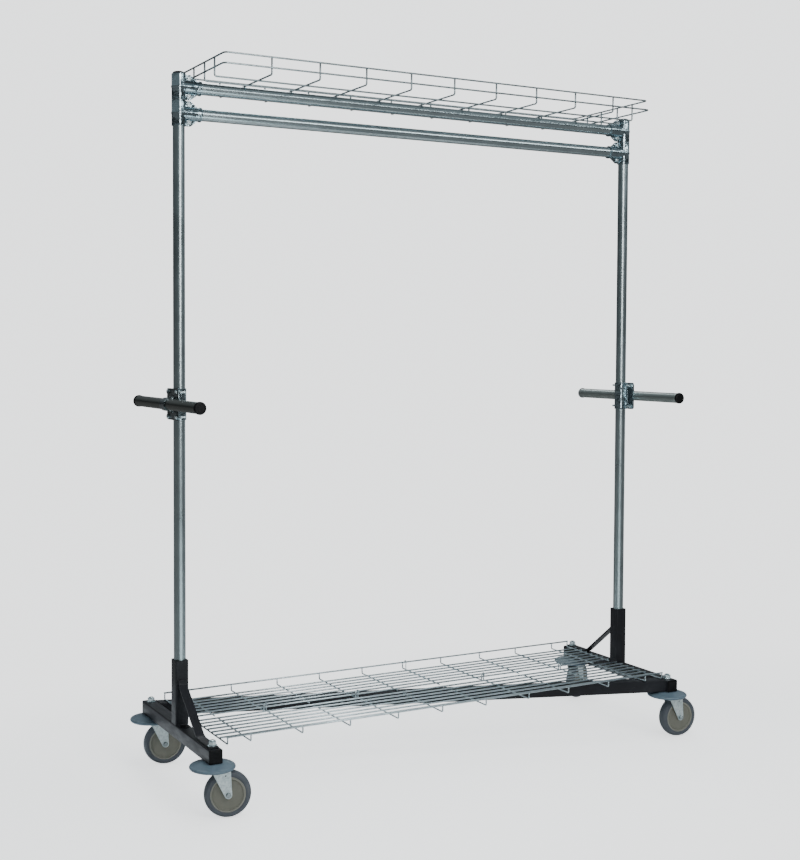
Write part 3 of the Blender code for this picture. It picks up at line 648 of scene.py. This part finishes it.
T_HALF_HEIGHT, T_REACH, T_BOLT_X, T_BOLT_Z, T_FLANGE = 0.035, 0.064, 0.028, 0.024, 0.0028
RIB_HALF_WIDTH, LIP_WIDTH = 0.0045, 0.0040
PLATE_HALF_LENGTH, PLATE_HALF_HEIGHT, PLATE_CORNER = 0.046, 0.044, 0.007
PLATE_BOLT_Y, PLATE_BOLT_Z, LOOP_HALF_LENGTH = 0.033, 0.0345, 0.018
CLAMP_BOLT, CLAMP_HEAD, CLAMP_NUT, CLAMP_TAIL = (0.003, 0.0100, 0.0066), 0.0042, 0.0050, 0.0085
CAP_R, CAP_THICK, CAP_PLUG = 0.0174, 0.009, 0.012


def build_tubes():
    for side, x in SIDES:
        bm = bmesh.new()
        add_tube(bm, TUBE_R, TUBE_R - WALL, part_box(f"{side}_upright")[0].z, UPRIGHT_TOP, centre=(x, 0, 0))
        finish_piece(f"{side}_upright_tube", bm, ZINC_Z, "rack", "tube", [f"{side}_upright"])
        bm = bmesh.new()
        top = UPRIGHT_TOP + GAP
        dome = ((0.0028, -CAP_PLUG), (0.0024, -0.0002), (0.0004, 0), (0, 0.0006), (0, 0.0028),
                (0.0008, 0.0042), (0.0028, 0.0056), (0.0060, 0.0068), (0.0110, 0.0078), (TUBE_R, 0.0083))
        profile = [(TUBE_R - inset, top + rise) for inset, rise in dome]
        add_lathe(bm, [(0, top - CAP_PLUG), *profile], centre=(x, 0, 0))
        finish_piece(f"{side}_upright_dome", bm, *END_CAP, [f"{side}_upright_cap"])
    for name, z in (("lower_rail", LOWER_RAIL_Z), ("upper_rail", UPPER_RAIL_Z)):
        bm = bmesh.new()
        add_tube(bm, TUBE_R, TUBE_R - WALL, -RAIL_HALF_LENGTH, RAIL_HALF_LENGTH, "X", (MIDDLE_X, 0, z))
        finish_piece(f"{name}_tube", bm, ZINC_X, "rack", "tube", [name])


def build_clamp_shell(name, at, inward, way):
    """Half a pressed T-clamp: flanges, half a barrel with a rib, and half a sleeve with a lip."""
    outer, inner, tall, rib = TUBE_R + GAP + SHEET, TUBE_R + GAP, T_HALF_HEIGHT, RIB_HALF_WIDTH
    edge = [(0.002, -tall + 0.0005), (0.033, -tall + 0.0005),
            *arc((0.033, -tall + 0.0045), 0.004, -80, -40, 4),
            (0.052, -outer - 0.001), (T_REACH - 0.001, -outer + 0.004)]
    outline = [(inward * u, v) for u, v in edge + [(u, -v) for u, v in reversed(edge)]]
    ridge = [(inner - 0.002, -rib), (outer, -rib), (outer + 0.0012, -0.0022), (outer + 0.0015, 0),
             (outer + 0.0012, 0.0022), (outer, rib), (inner - 0.002, rib)]
    square = [(-CUT, -CUT), (CUT, -CUT), (CUT, CUT), (-CUT, CUT)]
    body, barrel, ring, sleeve, lip, bore, rail_bore, half = (bmesh.new() for _ in range(8))
    add_prism(body, outline, *span(way, -0.002, GAP + T_FLANGE), "Y", at)
    add_rod(barrel, outer, -tall, tall, centre=at, sides=72)
    add_lathe(ring, ridge, 72, centre=at)
    add_rod(sleeve, outer - 0.0001, *span(inward, 0, T_REACH), "X", at, 68)
    add_rod(lip, outer + 0.0009, *span(inward, T_REACH - LIP_WIDTH, T_REACH), "X", at, 60)
    add_rod(bore, inner, -CUT, CUT, centre=at, sides=72)
    add_rod(rail_bore, inner, *span(inward, TUBE_R * 0.8, CUT), "X", at, 68)
    add_prism(half, square, *span(way, GAP / 2, -0.05), "Y", at)
    steps = [("UNION", barrel), ("UNION", ring), ("UNION", sleeve), ("UNION", lip),
             ("DIFFERENCE", bore), ("DIFFERENCE", rail_bore), ("DIFFERENCE", half)]
    finish_piece(f"{name}_shell", apply_booleans(body, steps), PRESSED, "rack", "clamp", [name], bevel=0.0006)


def build_rail_clamps():
    face = T_FLANGE + GAP
    for level, z in (("lower", LOWER_RAIL_Z), ("upper", UPPER_RAIL_Z)):
        for side, x, inward in (("left", LEFT_X, 1), ("right", RIGHT_X, -1)):
            for half, way in FACES:
                build_clamp_shell(f"{side}_{level}_clamp_{half}", (x, 0, z), inward, way)
            bm = bmesh.new()
            for dz in (-T_BOLT_Z, T_BOLT_Z):
                at = (x + inward * T_BOLT_X, 0, z + dz)
                add_hex_head(bm, CLAMP_BOLT, "Y", -1, at, face, CLAMP_HEAD, face)
                add_hex_head(bm, CLAMP_BOLT, "Y", 1, at, face, CLAMP_NUT, face + CLAMP_TAIL)
            finish_piece(f"{side}_{level}_clamp_bolts", bm, *CLAMP_BOLTS)


def build_handles():
    # The left handle gets the darker zinc, whose colour is painted shade
    for side, x, way, tone in (("left", LEFT_X, -1, ZINC_Y_PAINTED_SHADE), ("right", RIGHT_X, 1, ZINC_Y)):
        build_handle_clamp(side, (x, 0, HANDLE_Z), way)
        build_handle(side, x + way * HANDLE_OFFSET, tone)


def build_handle_clamp(side, at, way):
    """An outer plate with a loop around the handle, and an inner saddle around the upright."""
    ear, hold = TUBE_R + GAP, HANDLE_R + GAP
    outer, flange = ear + SHEET, TUBE_R - SHEET
    long, tall, reach = PLATE_HALF_LENGTH, PLATE_HALF_HEIGHT, hold + SHEET
    face = rounded_box(long, tall, PLATE_CORNER)
    foot = [(ear + 0.001, reach + 0.0035), (outer + 0.0006, reach + 0.0030), (outer + 0.0030, reach + 0.0004)]
    bend = [(TUBE_R, long), (flange, long), (flange, outer + 0.002), (flange - 0.0006, outer + 0.0006),
            (flange - 0.002, outer)]
    lower_foot, lower_bend = ([(u, -v) for u, v in reversed(half)] for half in (foot, bend))
    loop_outline = foot + arc((HANDLE_OFFSET, 0), reach, 90, -90, 40) + lower_foot
    saddle_outline = [*bend, *arc((0, 0), outer, 90, 270, 48), *lower_bend, (TUBE_R, -ear),
                      *arc((0, 0), ear, 270, 90, 48), (TUBE_R, ear)]
    plate, loop, bore, saddle, blank = (bmesh.new() for _ in range(5))
    add_prism(plate, face, *span(way, ear, outer), "X", at)
    add_prism(loop, [(way * u, v) for u, v in loop_outline], -LOOP_HALF_LENGTH, LOOP_HALF_LENGTH, "Y", at)
    add_rod(bore, hold, -CUT, CUT, "Y", (at[0] + way * HANDLE_OFFSET, 0, at[2]), 80)
    add_prism(saddle, [(way * u, v) for u, v in saddle_outline], -tall, tall, "Z", at)
    add_prism(blank, face, -CUT, CUT, "X", at)
    strap = apply_booleans(plate, [("UNION", loop), ("DIFFERENCE", bore)])
    shell = apply_booleans(saddle, [("INTERSECT", blank)])
    # The left plate gets the darker pressed zinc, whose colour is painted shade
    name, tone = f"{side}_handle", PRESSED_PAINTED_SHADE if side == "left" else PRESSED
    finish_piece(f"{name}_plate", strap, tone, "rack", "clamp", [f"{name}_strap"], bevel=0.0006)
    finish_piece(f"{name}_shell", shell, PRESSED, "rack", "clamp", [f"{name}_saddle"], bevel=0.0006)
    bolts = bmesh.new()
    for y in (-PLATE_BOLT_Y, PLATE_BOLT_Y):
        for z in (-PLATE_BOLT_Z, PLATE_BOLT_Z):
            centre = (at[0], y, at[2] + z)
            add_hex_head(bolts, CLAMP_BOLT, "X", way, centre, outer, CLAMP_HEAD, outer)
            add_hex_head(bolts, CLAMP_BOLT, "X", -way, centre, -flange, CLAMP_NUT, 0.0060)
    finish_piece(f"{name}_clamp_bolts", bolts, *CLAMP_BOLTS)


def build_handle(side, x, tone):
    at, end, name = (x, 0, HANDLE_Z), HANDLE_HALF_LENGTH, f"{side}_handle"
    bm = bmesh.new()
    add_tube(bm, HANDLE_R, HANDLE_R - WALL, -end, end, "Y", at)
    finish_piece(f"{name}_tube", bm, tone, "rack", "tube", [name])
    bore = CAP_R - (HANDLE_R - WALL - GAP)
    steps = ((CAP_R, -CAP_PLUG), (bore, -CAP_PLUG), (bore, 0.0002), (0.0006, 0.0002), (0, 0.0008),
             (0, 0.0050), (0.0006, 0.0068), (0.0020, 0.0082), (0.0036, CAP_THICK), (0.0058, CAP_THICK),
             (0.0066, CAP_THICK - 0.0008), (CAP_R, CAP_THICK - 0.0008))
    profile = [(CAP_R - inset, end + rise) for inset, rise in steps]
    for face, way in FACES:
        bm = bmesh.new()
        add_lathe(bm, [(r, way * y) for r, y in profile], 64, "Y", at)
        look = CAP_GREY if (side, face) == ("right", "back") else CAP
        finish_piece(f"{name}_{face}_end", bm, look, "rack", "end_cap", [f"{name}_{face}_cap"])


# Wire shelves

TRAY_HALF_LENGTH, TRAY_HALF_DEPTH, TRAY_PITCH = 0.7193, 0.188, 0.1456
TRAY_RIM_Z, TRAY_MID_DROP, TRAY_LONG_Y = 2.031, 0.0293, (0.041, 0.115)
SHELF_X = JOINTS["shelf_fold"]["pos_m"][0]
SHELF_HALF_LENGTH, SHELF_HALF_DEPTH, SHELF_PITCH = 0.747, 0.248, 0.151
SHELF_FIRST_Y, SHELF_STEP_Y, SHELF_LONGS = 0.022, 0.0292, 7
HINGE_AT, HINGE_SPREAD, EYE_R, EYE_WIRE, PIN_HALF_LENGTH = (1, 3, 6, 8), 0.0035, 0.0041, 0.0016, 0.0070
RIM_BEND, TRAY_BEND, SHELF_BEND = 0.012, 0.006, 0.004
TOUCH = 0.0002  # how far a weld lets two wires sink together


def build_top_shelf():
    floor = UPPER_RAIL_Z + TUBE_R + GAP + WIRE_R
    rims, crossing, long = (bmesh.new() for _ in range(3))
    step = 2 * WIRE_R - TOUCH
    half, depth, top = TRAY_HALF_LENGTH, TRAY_HALF_DEPTH, TRAY_RIM_Z - WIRE_R
    for grow, z in ((0.0, TRAY_RIM_Z), (step, TRAY_RIM_Z - TRAY_MID_DROP)):
        around = ((-1, -1), (1, -1), (1, 1), (-1, 1), (-1, -1), (1, -1))
        corners = [(MIDDLE_X + u * (half + grow), v * (depth + grow), z) for u, v in around]
        add_wire(rims, rounded_bends(corners, RIM_BEND)[1:-1], WIRE_R, closed=True)
    for i in range(-4, 5):
        x = MIDDLE_X + i * TRAY_PITCH
        path = [(x, -depth, top), (x, -depth, floor), (x, depth, floor), (x, depth, top)]
        add_wire(crossing, rounded_bends(path, TRAY_BEND), WIRE_R)
    for y in (-TRAY_LONG_Y[1], -TRAY_LONG_Y[0], *TRAY_LONG_Y):
        x0, x1, z = MIDDLE_X - half, MIDDLE_X + half, floor - step
        path = [(x0, y, top), (x0, y, z), (x1, y, z), (x1, y, top)]
        add_wire(long, rounded_bends(path, TRAY_BEND), WIRE_R)
    for name, wires in (("rim", rims), ("cross", crossing), ("long", long)):
        finish_piece(f"top_shelf_{name}_wires", wires, WIRE_ZINC, "rack", "wire", ["top_shelf"], sharp=60)


def build_shelf_panel(label, way, body, node):
    """One panel. Way is 1 for the back one, with the hinge pins, and -1 for the front one, with the eyes."""
    cross_z = BASE_TOP + GAP + THIN_WIRE_R
    long_z = cross_z + THIN_WIRE_R + WIRE_R - TOUCH
    rim_z, rim_y = HINGE_Z, way * SHELF_HALF_DEPTH
    regular = [SHELF_X + (i - 4.5) * SHELF_PITCH for i in range(10)]
    ends = [SHELF_X - SHELF_HALF_LENGTH, SHELF_X + SHELF_HALF_LENGTH]
    x0, x1 = ends[0] - THIN_WIRE_R, ends[1] + THIN_WIRE_R
    rim, crossing, long, hinges = (bmesh.new() for _ in range(4))
    add_wire(rim, [(x0, rim_y, rim_z), (x1, rim_y, rim_z)], WIRE_R)
    for i in range(SHELF_LONGS):
        y = way * (SHELF_FIRST_Y + i * SHELF_STEP_Y)
        add_wire(long, [(x0, y, long_z), (x1, y, long_z)], WIRE_R)
    for i, middle_x in enumerate(regular + ends):
        hinged = i in HINGE_AT
        x = middle_x - way * HINGE_SPREAD if hinged else middle_x
        path = [(x, rim_y, cross_z), (x, rim_y, rim_z - WIRE_R + TOUCH)]
        if not hinged:
            path = [(x, way * (SHELF_FIRST_Y - 0.006), cross_z), *path]
        elif way < 0:
            path = [(x, 0, rim_z - 0.0040), (x, 0, cross_z), *path]
            angles = [tau * k / 24 for k in range(24)]
            loop = [(x, EYE_R * sin(a), rim_z - EYE_R * cos(a)) for a in angles]
            add_wire(hinges, loop, EYE_WIRE, 10, closed=True)
        else:
            path = [(x, 0, rim_z), (x, 0, cross_z), *path]
            pin = (middle_x - PIN_HALF_LENGTH, middle_x + PIN_HALF_LENGTH)
            add_rod(hinges, THIN_WIRE_R, *pin, "X", (0, 0, rim_z), 24, 0.0005)
        add_wire(crossing, rounded_bends(path, SHELF_BEND), THIN_WIRE_R)
    hinge = "eyes" if way < 0 else "pins"
    for name, wires in (("rim_wire", rim), ("cross_wires", crossing), ("long_wires", long), (hinge, hinges)):
        finish_piece(f"{label}_{name}", wires, SHELF_ZINC, body, "wire", [node], sharp=60)


def build_latch():
    """A hook of thin wire whose eye turns on the back rim wire."""
    x, y, z = JOINTS["latch_hook_swing"]["pos_m"]
    wire = 0.0014
    eye = WIRE_R + wire + 0.0010
    tail = [(0.0045, -0.0222), (0.0028, -0.0238), (0.0005, -0.0245), (-0.0018, -0.0236), (-0.0033, -0.0215),
            (-0.0036, -0.0190), (-0.0024, -0.0100), (-0.0030, -0.0070)]
    bm = bmesh.new()
    add_wire(bm, [(x, y + u, z + v) for u, v in tail + arc((0, 0), eye, 215, -50, 20)], wire)
    finish_piece("fold_latch_wire", bm, HARDWARE, "fold_latch", "wire", ["fold_latch_hook"], sharp=60)


# Casters

AXLE_R, STEM_R = 0.004, 0.00635
CROWN_LOW, CROWN_HIGH, HEAD_HIGH, BUMPER_LOW = 0.1286, 0.1316, 0.1395, 0.1330
FORK_HALF, FORK_SHEET, FORK_LOW, BOSS_R = 0.0205, 0.0025, 0.040, 0.0100
AXLE_BOLT, AXLE_HEAD, AXLE_NUT, AXLE_TAIL = (AXLE_R, 0.0120, 0.0072), 0.0046, 0.0058, 0.0088
STEM_HEAD_R, NUT_HEIGHT, NUT_ACROSS = 0.0210, 0.0106, 0.0190
HUB_RIM_R, ROUND = 0.0475, 112  # and the sides of the largest round pieces


def caster_place(corner):
    """The caster's own frame: origin on the floor below the swivel, X along its trail."""
    x, y, _ = JOINTS[f"{corner}_swivel_turn"]["pos_m"]
    axle = JOINTS[f"{corner}_wheel_spin"]["axis"]
    return Matrix.Translation((x, y, 0)) @ Matrix.Rotation(atan2(-axle[0], axle[1]), 4, "Z")


def build_stem(corner, place):
    """A round head under the base tube, and the stem through it with a washer and a nut on top."""
    low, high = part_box(f"{corner}_stem")
    seat = high.z - 0.0150
    nut = seat + 0.0020
    bm = bmesh.new()
    add_lathe(bm, [(0, low.z), (STEM_HEAD_R - 0.0004, low.z), (STEM_HEAD_R, low.z + 0.0006),
                   (STEM_HEAD_R, HEAD_HIGH - 0.0012), (STEM_HEAD_R - 0.0012, HEAD_HIGH), (STEM_R, HEAD_HIGH),
                   (STEM_R, seat), (0.0125, seat), (0.0127, seat + 0.0003), (0.0127, seat + 0.0017),
                   (0.0124, nut), (0, nut)])
    finish_piece(f"{corner}_stem_body", bm, HARDWARE, "rack", "caster_steel", [f"{corner}_stem"], place=place)
    bm = bmesh.new()
    top = nut + NUT_HEIGHT
    add_prism(bm, hexagon(NUT_ACROSS, pi / 2), nut, nut + 0.0094)
    add_lathe(bm, [(0, nut + 0.006), (0.0094, nut + 0.006), (0.0094, nut + 0.0096), (0.0082, nut + 0.0104),
                   (0.0070, top), (0, top)], 48)
    thread = [(STEM_R - 0.0004 * (k % 2), nut + 0.0104 + 0.0005 * k) for k in range(5)]
    add_lathe(bm, [(0, nut + 0.010), *thread, (STEM_R - 0.0012, high.z - 0.0002), (0, high.z)], 32)
    finish_piece(f"{corner}_stem_nut", bm, HARDWARE, "rack", "caster_steel", [f"{corner}_stem"], place=place)


def build_bumper(corner, place):
    """A flat rubber disc with a round lip and a cone that rises to the stem."""
    low, top, hole = BUMPER_LOW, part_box(f"{corner}_bumper")[1].z, STEM_R + GAP
    lip = arc((0.0575, low + 0.0047), 0.0045, -90, 70, 9)
    profile = [(0.0240, low + 0.0012), (0.0252, low), (0.0500, low), *lip, (0.0545, low + 0.0088),
               (0.0530, low + 0.0094), (0.0420, low + 0.0126), (0.0350, top - 0.0015), (0.0320, top - 0.0003),
               (0.0300, top), (hole + 0.0005, top), (hole, top - 0.0005), (hole, HEAD_HIGH + GAP),
               (0.0240, HEAD_HIGH + GAP)]
    bm = bmesh.new()
    add_lathe(bm, profile, ROUND)
    finish_piece(f"{corner}_bumper_disc", bm, BUMPER, "rack", "bumper", [f"{corner}_bumper"], sharp=50,
                 place=place)


def build_fork(corner, place):
    """Pressed fork: a rounded crown that tapers down both sides to round axle bosses, and the axle bolt."""
    outer, inner, bend, tight = FORK_HALF, FORK_HALF - FORK_SHEET, 0.0045, 0.002
    axle, at, above = (TRAIL, WHEEL_R), (TRAIL, 0, WHEEL_R), CROWN_HIGH + 0.01
    section = [(-outer, FORK_LOW), (-outer, CROWN_HIGH - bend),
               *arc((-outer + bend, CROWN_HIGH - bend), bend, 180, 90, 6),
               *arc((outer - bend, CROWN_HIGH - bend), bend, 90, 0, 6), (outer, FORK_LOW), (inner, FORK_LOW),
               *arc((inner - tight, CROWN_LOW - tight), tight, 0, 90, 4),
               *arc((-inner + tight, CROWN_LOW - tight), tight, 90, 180, 4), (-inner, FORK_LOW)]
    side_view = [(-0.022, above), (-0.022, CROWN_LOW - 0.001), (-0.018, 0.1252), (0.000, 0.121),
                 *arc(axle, BOSS_R, -145, -110, 6), *arc(axle, BOSS_R, -90, 5, 18), (0.046, above)]
    body, outline, hole, raceway, punched = (bmesh.new() for _ in range(5))
    add_prism(body, section, -0.03, 0.06, "X")
    add_prism(outline, side_view, -0.05, 0.05, "Y")
    add_rod(hole, AXLE_R + GAP, -0.05, 0.05, "Y", at, 32)
    add_rod(raceway, 0.0060, CROWN_LOW - 0.01, above, sides=32)
    add_rod(punched, 0.0024, -0.05, 0.05, "Y", (0.033, 0, 0.1155), 24)
    steps = [("INTERSECT", outline), ("DIFFERENCE", hole), ("DIFFERENCE", raceway), ("DIFFERENCE", punched)]
    steel = (f"{corner}_swivel", "caster_steel")
    finish_piece(f"{corner}_fork", apply_booleans(body, steps), FORK_ZINC, *steel, [f"{corner}_caster_fork"],
                 place=place, bevel=0.0005)
    bm = bmesh.new()
    face = outer + GAP
    add_rod(bm, AXLE_R, -face, face, "Y", at, 32)
    add_hex_head(bm, AXLE_BOLT, "Y", -1, at, face, AXLE_HEAD, face)
    add_hex_head(bm, AXLE_BOLT, "Y", 1, at, face, AXLE_NUT, face + AXLE_TAIL)
    finish_piece(f"{corner}_axle", bm, AXLE_ZINC, *steel, [f"{corner}_axle_bolt"], place=place)


def build_wheel(corner, place):
    """Hub and tyre, each turned from half a profile and its mirror image."""
    place = place @ Matrix.Translation((TRAIL, 0, WHEEL_R))
    half, wheel = WHEEL_HALF_WIDTH, f"{corner}_wheel"
    steps = ((AXLE_R + GAP, -0.0010), (0.0105, -0.0010), (0.0112, -0.0006), (0.0118, 0.0026),
             (0.0135, 0.0032), (0.0380, 0.0030), (0.0396, 0.0026), (0.0406, 0.0008), (0.0416, 0.0002),
             (0.0428, 0.0002), (0.0436, 0.0010), (0.0444, 0.0018), (HUB_RIM_R, 0.0016))
    face = [(r, rise - half) for r, rise in steps]
    bm = bmesh.new()
    add_lathe(bm, face + [(r, -y) for r, y in reversed(face)], ROUND, "Y")
    finish_piece(f"{corner}_hub", bm, HUB, wheel, "hub", [f"{corner}_wheel_hub"], place=place, sharp=40)
    steps = ((HUB_RIM_R + GAP, 0.0014), (HUB_RIM_R + 0.0009, 0.0004), (0.0500, 0), (0.0560, 0.0001),
             (0.0582, 0.0008), (0.0600, 0.0026), (0.0614, 0.0056), (0.0624, 0.0088), (0.0632, 0.0124))
    tread = [(r, rise - half) for r, rise in steps]
    bm = bmesh.new()
    add_lathe(bm, [*tread, (WHEEL_R, 0), *[(r, -y) for r, y in reversed(tread)]], ROUND, "Y")
    finish_piece(f"{corner}_tyre_ring", bm, TYRE, wheel, "tyre", [f"{corner}_tyre"], place=place, sharp=50)


def build_casters():
    for corner in CORNERS:
        for build in (build_stem, build_bumper, build_fork, build_wheel):
            build(corner, caster_place(corner))


# Stage

CAMERA_FROM_MIDDLE = (-2.0344, -3.4230, 1.2548)
CAMERA_TURN, CAMERA_DOWN, CAMERA_ROLL = 27.888, 2.320, 0.194
CAMERA_LENS, CAMERA_SHIFT, SENSOR_WIDTH = 54.29, (0.0513, -0.0379), 36.0


def build_camera():
    data = bpy.data.cameras.new("camera")
    data.lens = CAMERA_LENS
    data.sensor_width = SENSOR_WIDTH
    data.shift_x, data.shift_y = CAMERA_SHIFT
    camera = new_object("camera", data)
    turn = Matrix.Rotation(radians(-CAMERA_TURN), 4, "Z")
    tilt = Matrix.Rotation(radians(90 - CAMERA_DOWN), 4, "X")
    roll = Matrix.Rotation(radians(CAMERA_ROLL), 4, "Z")
    place = Matrix.Translation(Vector(CAMERA_FROM_MIDDLE) + Vector((MIDDLE_X, 0, 0)))
    camera.matrix_world = place @ (turn @ tilt @ roll)
    bpy.context.scene.camera = camera


def softbox(name, location, target, size, power, colour=(1, 1, 1), mirrored=True):
    data = bpy.data.lights.new(name, "AREA")
    data.shape = "RECTANGLE"
    data.size, data.size_y = size
    data.energy = power
    data.color = colour
    light = new_object(name, data)
    light.location = location
    light.rotation_euler = (Vector(target) - Vector(location)).to_track_quat("-Z", "Y").to_euler()
    light.visible_camera = False
    light.visible_glossy = mirrored


BACKDROP = (0.93, 0.95, 0.96)
BACKDROP_LIGHT = 2.3
FLOOR_LIFT = 1.45  # light that the camera sees in the floor on top of what falls on it
FLOOR_COLOUR, FLOOR_GLOW, FLOOR_RADIUS, FLOOR_Z = (0.84, 0.86, 0.87), 0.22, 40.0, -0.0005
SHADOW_REACH, SHADOW_FADE = (1.40, 0.80), (0.8, 1.7)  # half axes of an ellipse, and where it fades, in them
STUDIO_TINT = (0.90, 1.0, 1.04)
# (height, brightness) from straight down, 0, to straight up, 1
STUDIO = ((0.0, 0.060), (0.50, 0.045), (0.57, 0.070), (0.63, 0.30), (0.88, 0.30), (0.955, 0.09), (1.0, 0.05))


def seen_by_camera(tree, unseen, shown, output):
    """A mix of two shaders: the camera sees the second one, and everything else the first."""
    mix = add_node(tree, "MixShader")
    tree.links.new(add_node(tree, "LightPath").outputs["Is Camera Ray"], mix.inputs[0])
    tree.links.new(unseen.outputs[output], mix.inputs[1])
    tree.links.new(shown.outputs[output], mix.inputs[2])
    return mix.outputs["Shader"]


def build_world():
    """A pale backdrop, with a dimmer studio around it that the metal reflects."""
    world = bpy.data.worlds.new("studio")
    bpy.context.scene.world = world
    world.use_nodes = True
    tree = world.node_tree
    link = tree.links.new
    tree.nodes.clear()
    split = add_node(tree, "SeparateXYZ")
    link(add_node(tree, "TexCoord").outputs["Generated"], split.inputs["Vector"])
    height = add_node(tree, "MapRange", From_Min=-1.0)
    link(split.outputs["Z"], height.inputs["Value"])
    stops = [(position, shade(STUDIO_TINT, level)) for position, level in STUDIO]
    studio = add_node(tree, "Background", Strength=1.0)
    link(add_ramp(tree, height.outputs["Result"], stops), studio.inputs["Color"])
    pale = add_node(tree, "Background", Color=(*BACKDROP, 1), Strength=BACKDROP_LIGHT)
    out = add_node(tree, "OutputWorld")
    link(seen_by_camera(tree, studio, pale, "Background"), out.inputs["Surface"])


def build_floor():
    """A pale floor that takes soft shadows near the rack and runs into the backdrop further out."""
    bm = bmesh.new()
    bmesh.ops.create_circle(bm, cap_ends=True, radius=FLOOR_RADIUS, segments=96)
    floor = new_mesh("floor", bm)
    floor.location = (0, 0, FLOOR_Z)
    look = bpy.data.materials.new("pale_floor")
    look.use_nodes = True
    tree = look.node_tree
    link = tree.links.new
    tree.nodes.clear()
    squeeze = add_node(tree, "Mapping", Scale=(1 / SHADOW_REACH[0], 1 / SHADOW_REACH[1], 1))
    link(add_node(tree, "TexCoord").outputs["Object"], squeeze.inputs["Vector"])
    length = add_node(tree, "VectorMath")
    length.operation = "LENGTH"
    link(squeeze.outputs["Vector"], length.inputs[0])
    far = add_node(tree, "MapRange", From_Min=SHADOW_FADE[0], From_Max=SHADOW_FADE[1])
    far.interpolation_type = "SMOOTHSTEP"
    link(length.outputs["Value"], far.inputs["Value"])

    def glow(unseen, shown):
        """Emission that the camera sees brighter than the object does."""
        glows = [add_node(tree, "Emission", Color=(*BACKDROP, 1), Strength=s) for s in (unseen, shown)]
        return seen_by_camera(tree, *glows, "Emission")

    matt = add_node(tree, "BsdfDiffuse", Color=(*FLOOR_COLOUR, 1))
    near = add_node(tree, "AddShader")
    link(matt.outputs["BSDF"], near.inputs[0])
    link(glow(0.0, FLOOR_LIFT), near.inputs[1])
    mix = add_node(tree, "MixShader")
    link(far.outputs["Result"], mix.inputs[0])
    link(near.outputs["Shader"], mix.inputs[1])
    link(glow(FLOOR_GLOW, BACKDROP_LIGHT), mix.inputs[2])
    out = add_node(tree, "OutputMaterial")
    link(mix.outputs["Shader"], out.inputs["Surface"])
    floor.data.materials.append(look)


def build_lights():
    """Each softbox has its place, what it looks at, its size and its power in watts."""
    softbox("key", (-0.46, -2.47, 2.30), (-0.10, 0, 1.70), (0.62, 2.7), 42, (1.0, 0.99, 0.98))
    softbox("floor_bounce", (-0.50, -2.25, 0.01), (-0.50, -2.25, 1.0), (1.8, 1.9), 28, (0.86, 1.0, 1.03))
    softbox("fill", (-4.6, -1.2, 2.4), (0, 0, 0.9), (1.2, 3.0), 22, (0.93, 0.97, 1.0), mirrored=False)
    softbox("left_floor", (-1.15, 0.45, 0.01), (-1.15, 0.45, 1.0), (0.6, 0.8), 1.2, (0.86, 0.97, 1.06))
    softbox("side", (3.6, 0.6, 1.6), (0, 0, 1.0), (1.6, 3.0), 6, (0.93, 0.97, 1.0))
    softbox("overhead_strip", (2.3, -4.2, 3.75), (0.2, 0, 1.9), (4.6, 0.8), 60, (0.94, 0.99, 1.0))
    softbox("top", (0.0, -0.4, 5.2), (0, 0, 0), (4.0, 3.0), 90, mirrored=False)
    softbox("back", (0.9, 3.6, 4.4), (-0.3, 0, 0.5), (1.3, 1.6), 34, (0.95, 0.98, 1.0))


build_base()
build_tubes()
build_rail_clamps()
build_handles()
build_top_shelf()
build_shelf_panel("back_shelf", 1, "rack", "back_shelf_panel")
build_shelf_panel("front_shelf", -1, "front_shelf", "front_shelf_panel")
build_latch()
build_casters()
build_camera()
build_world()
build_floor()
build_lights()
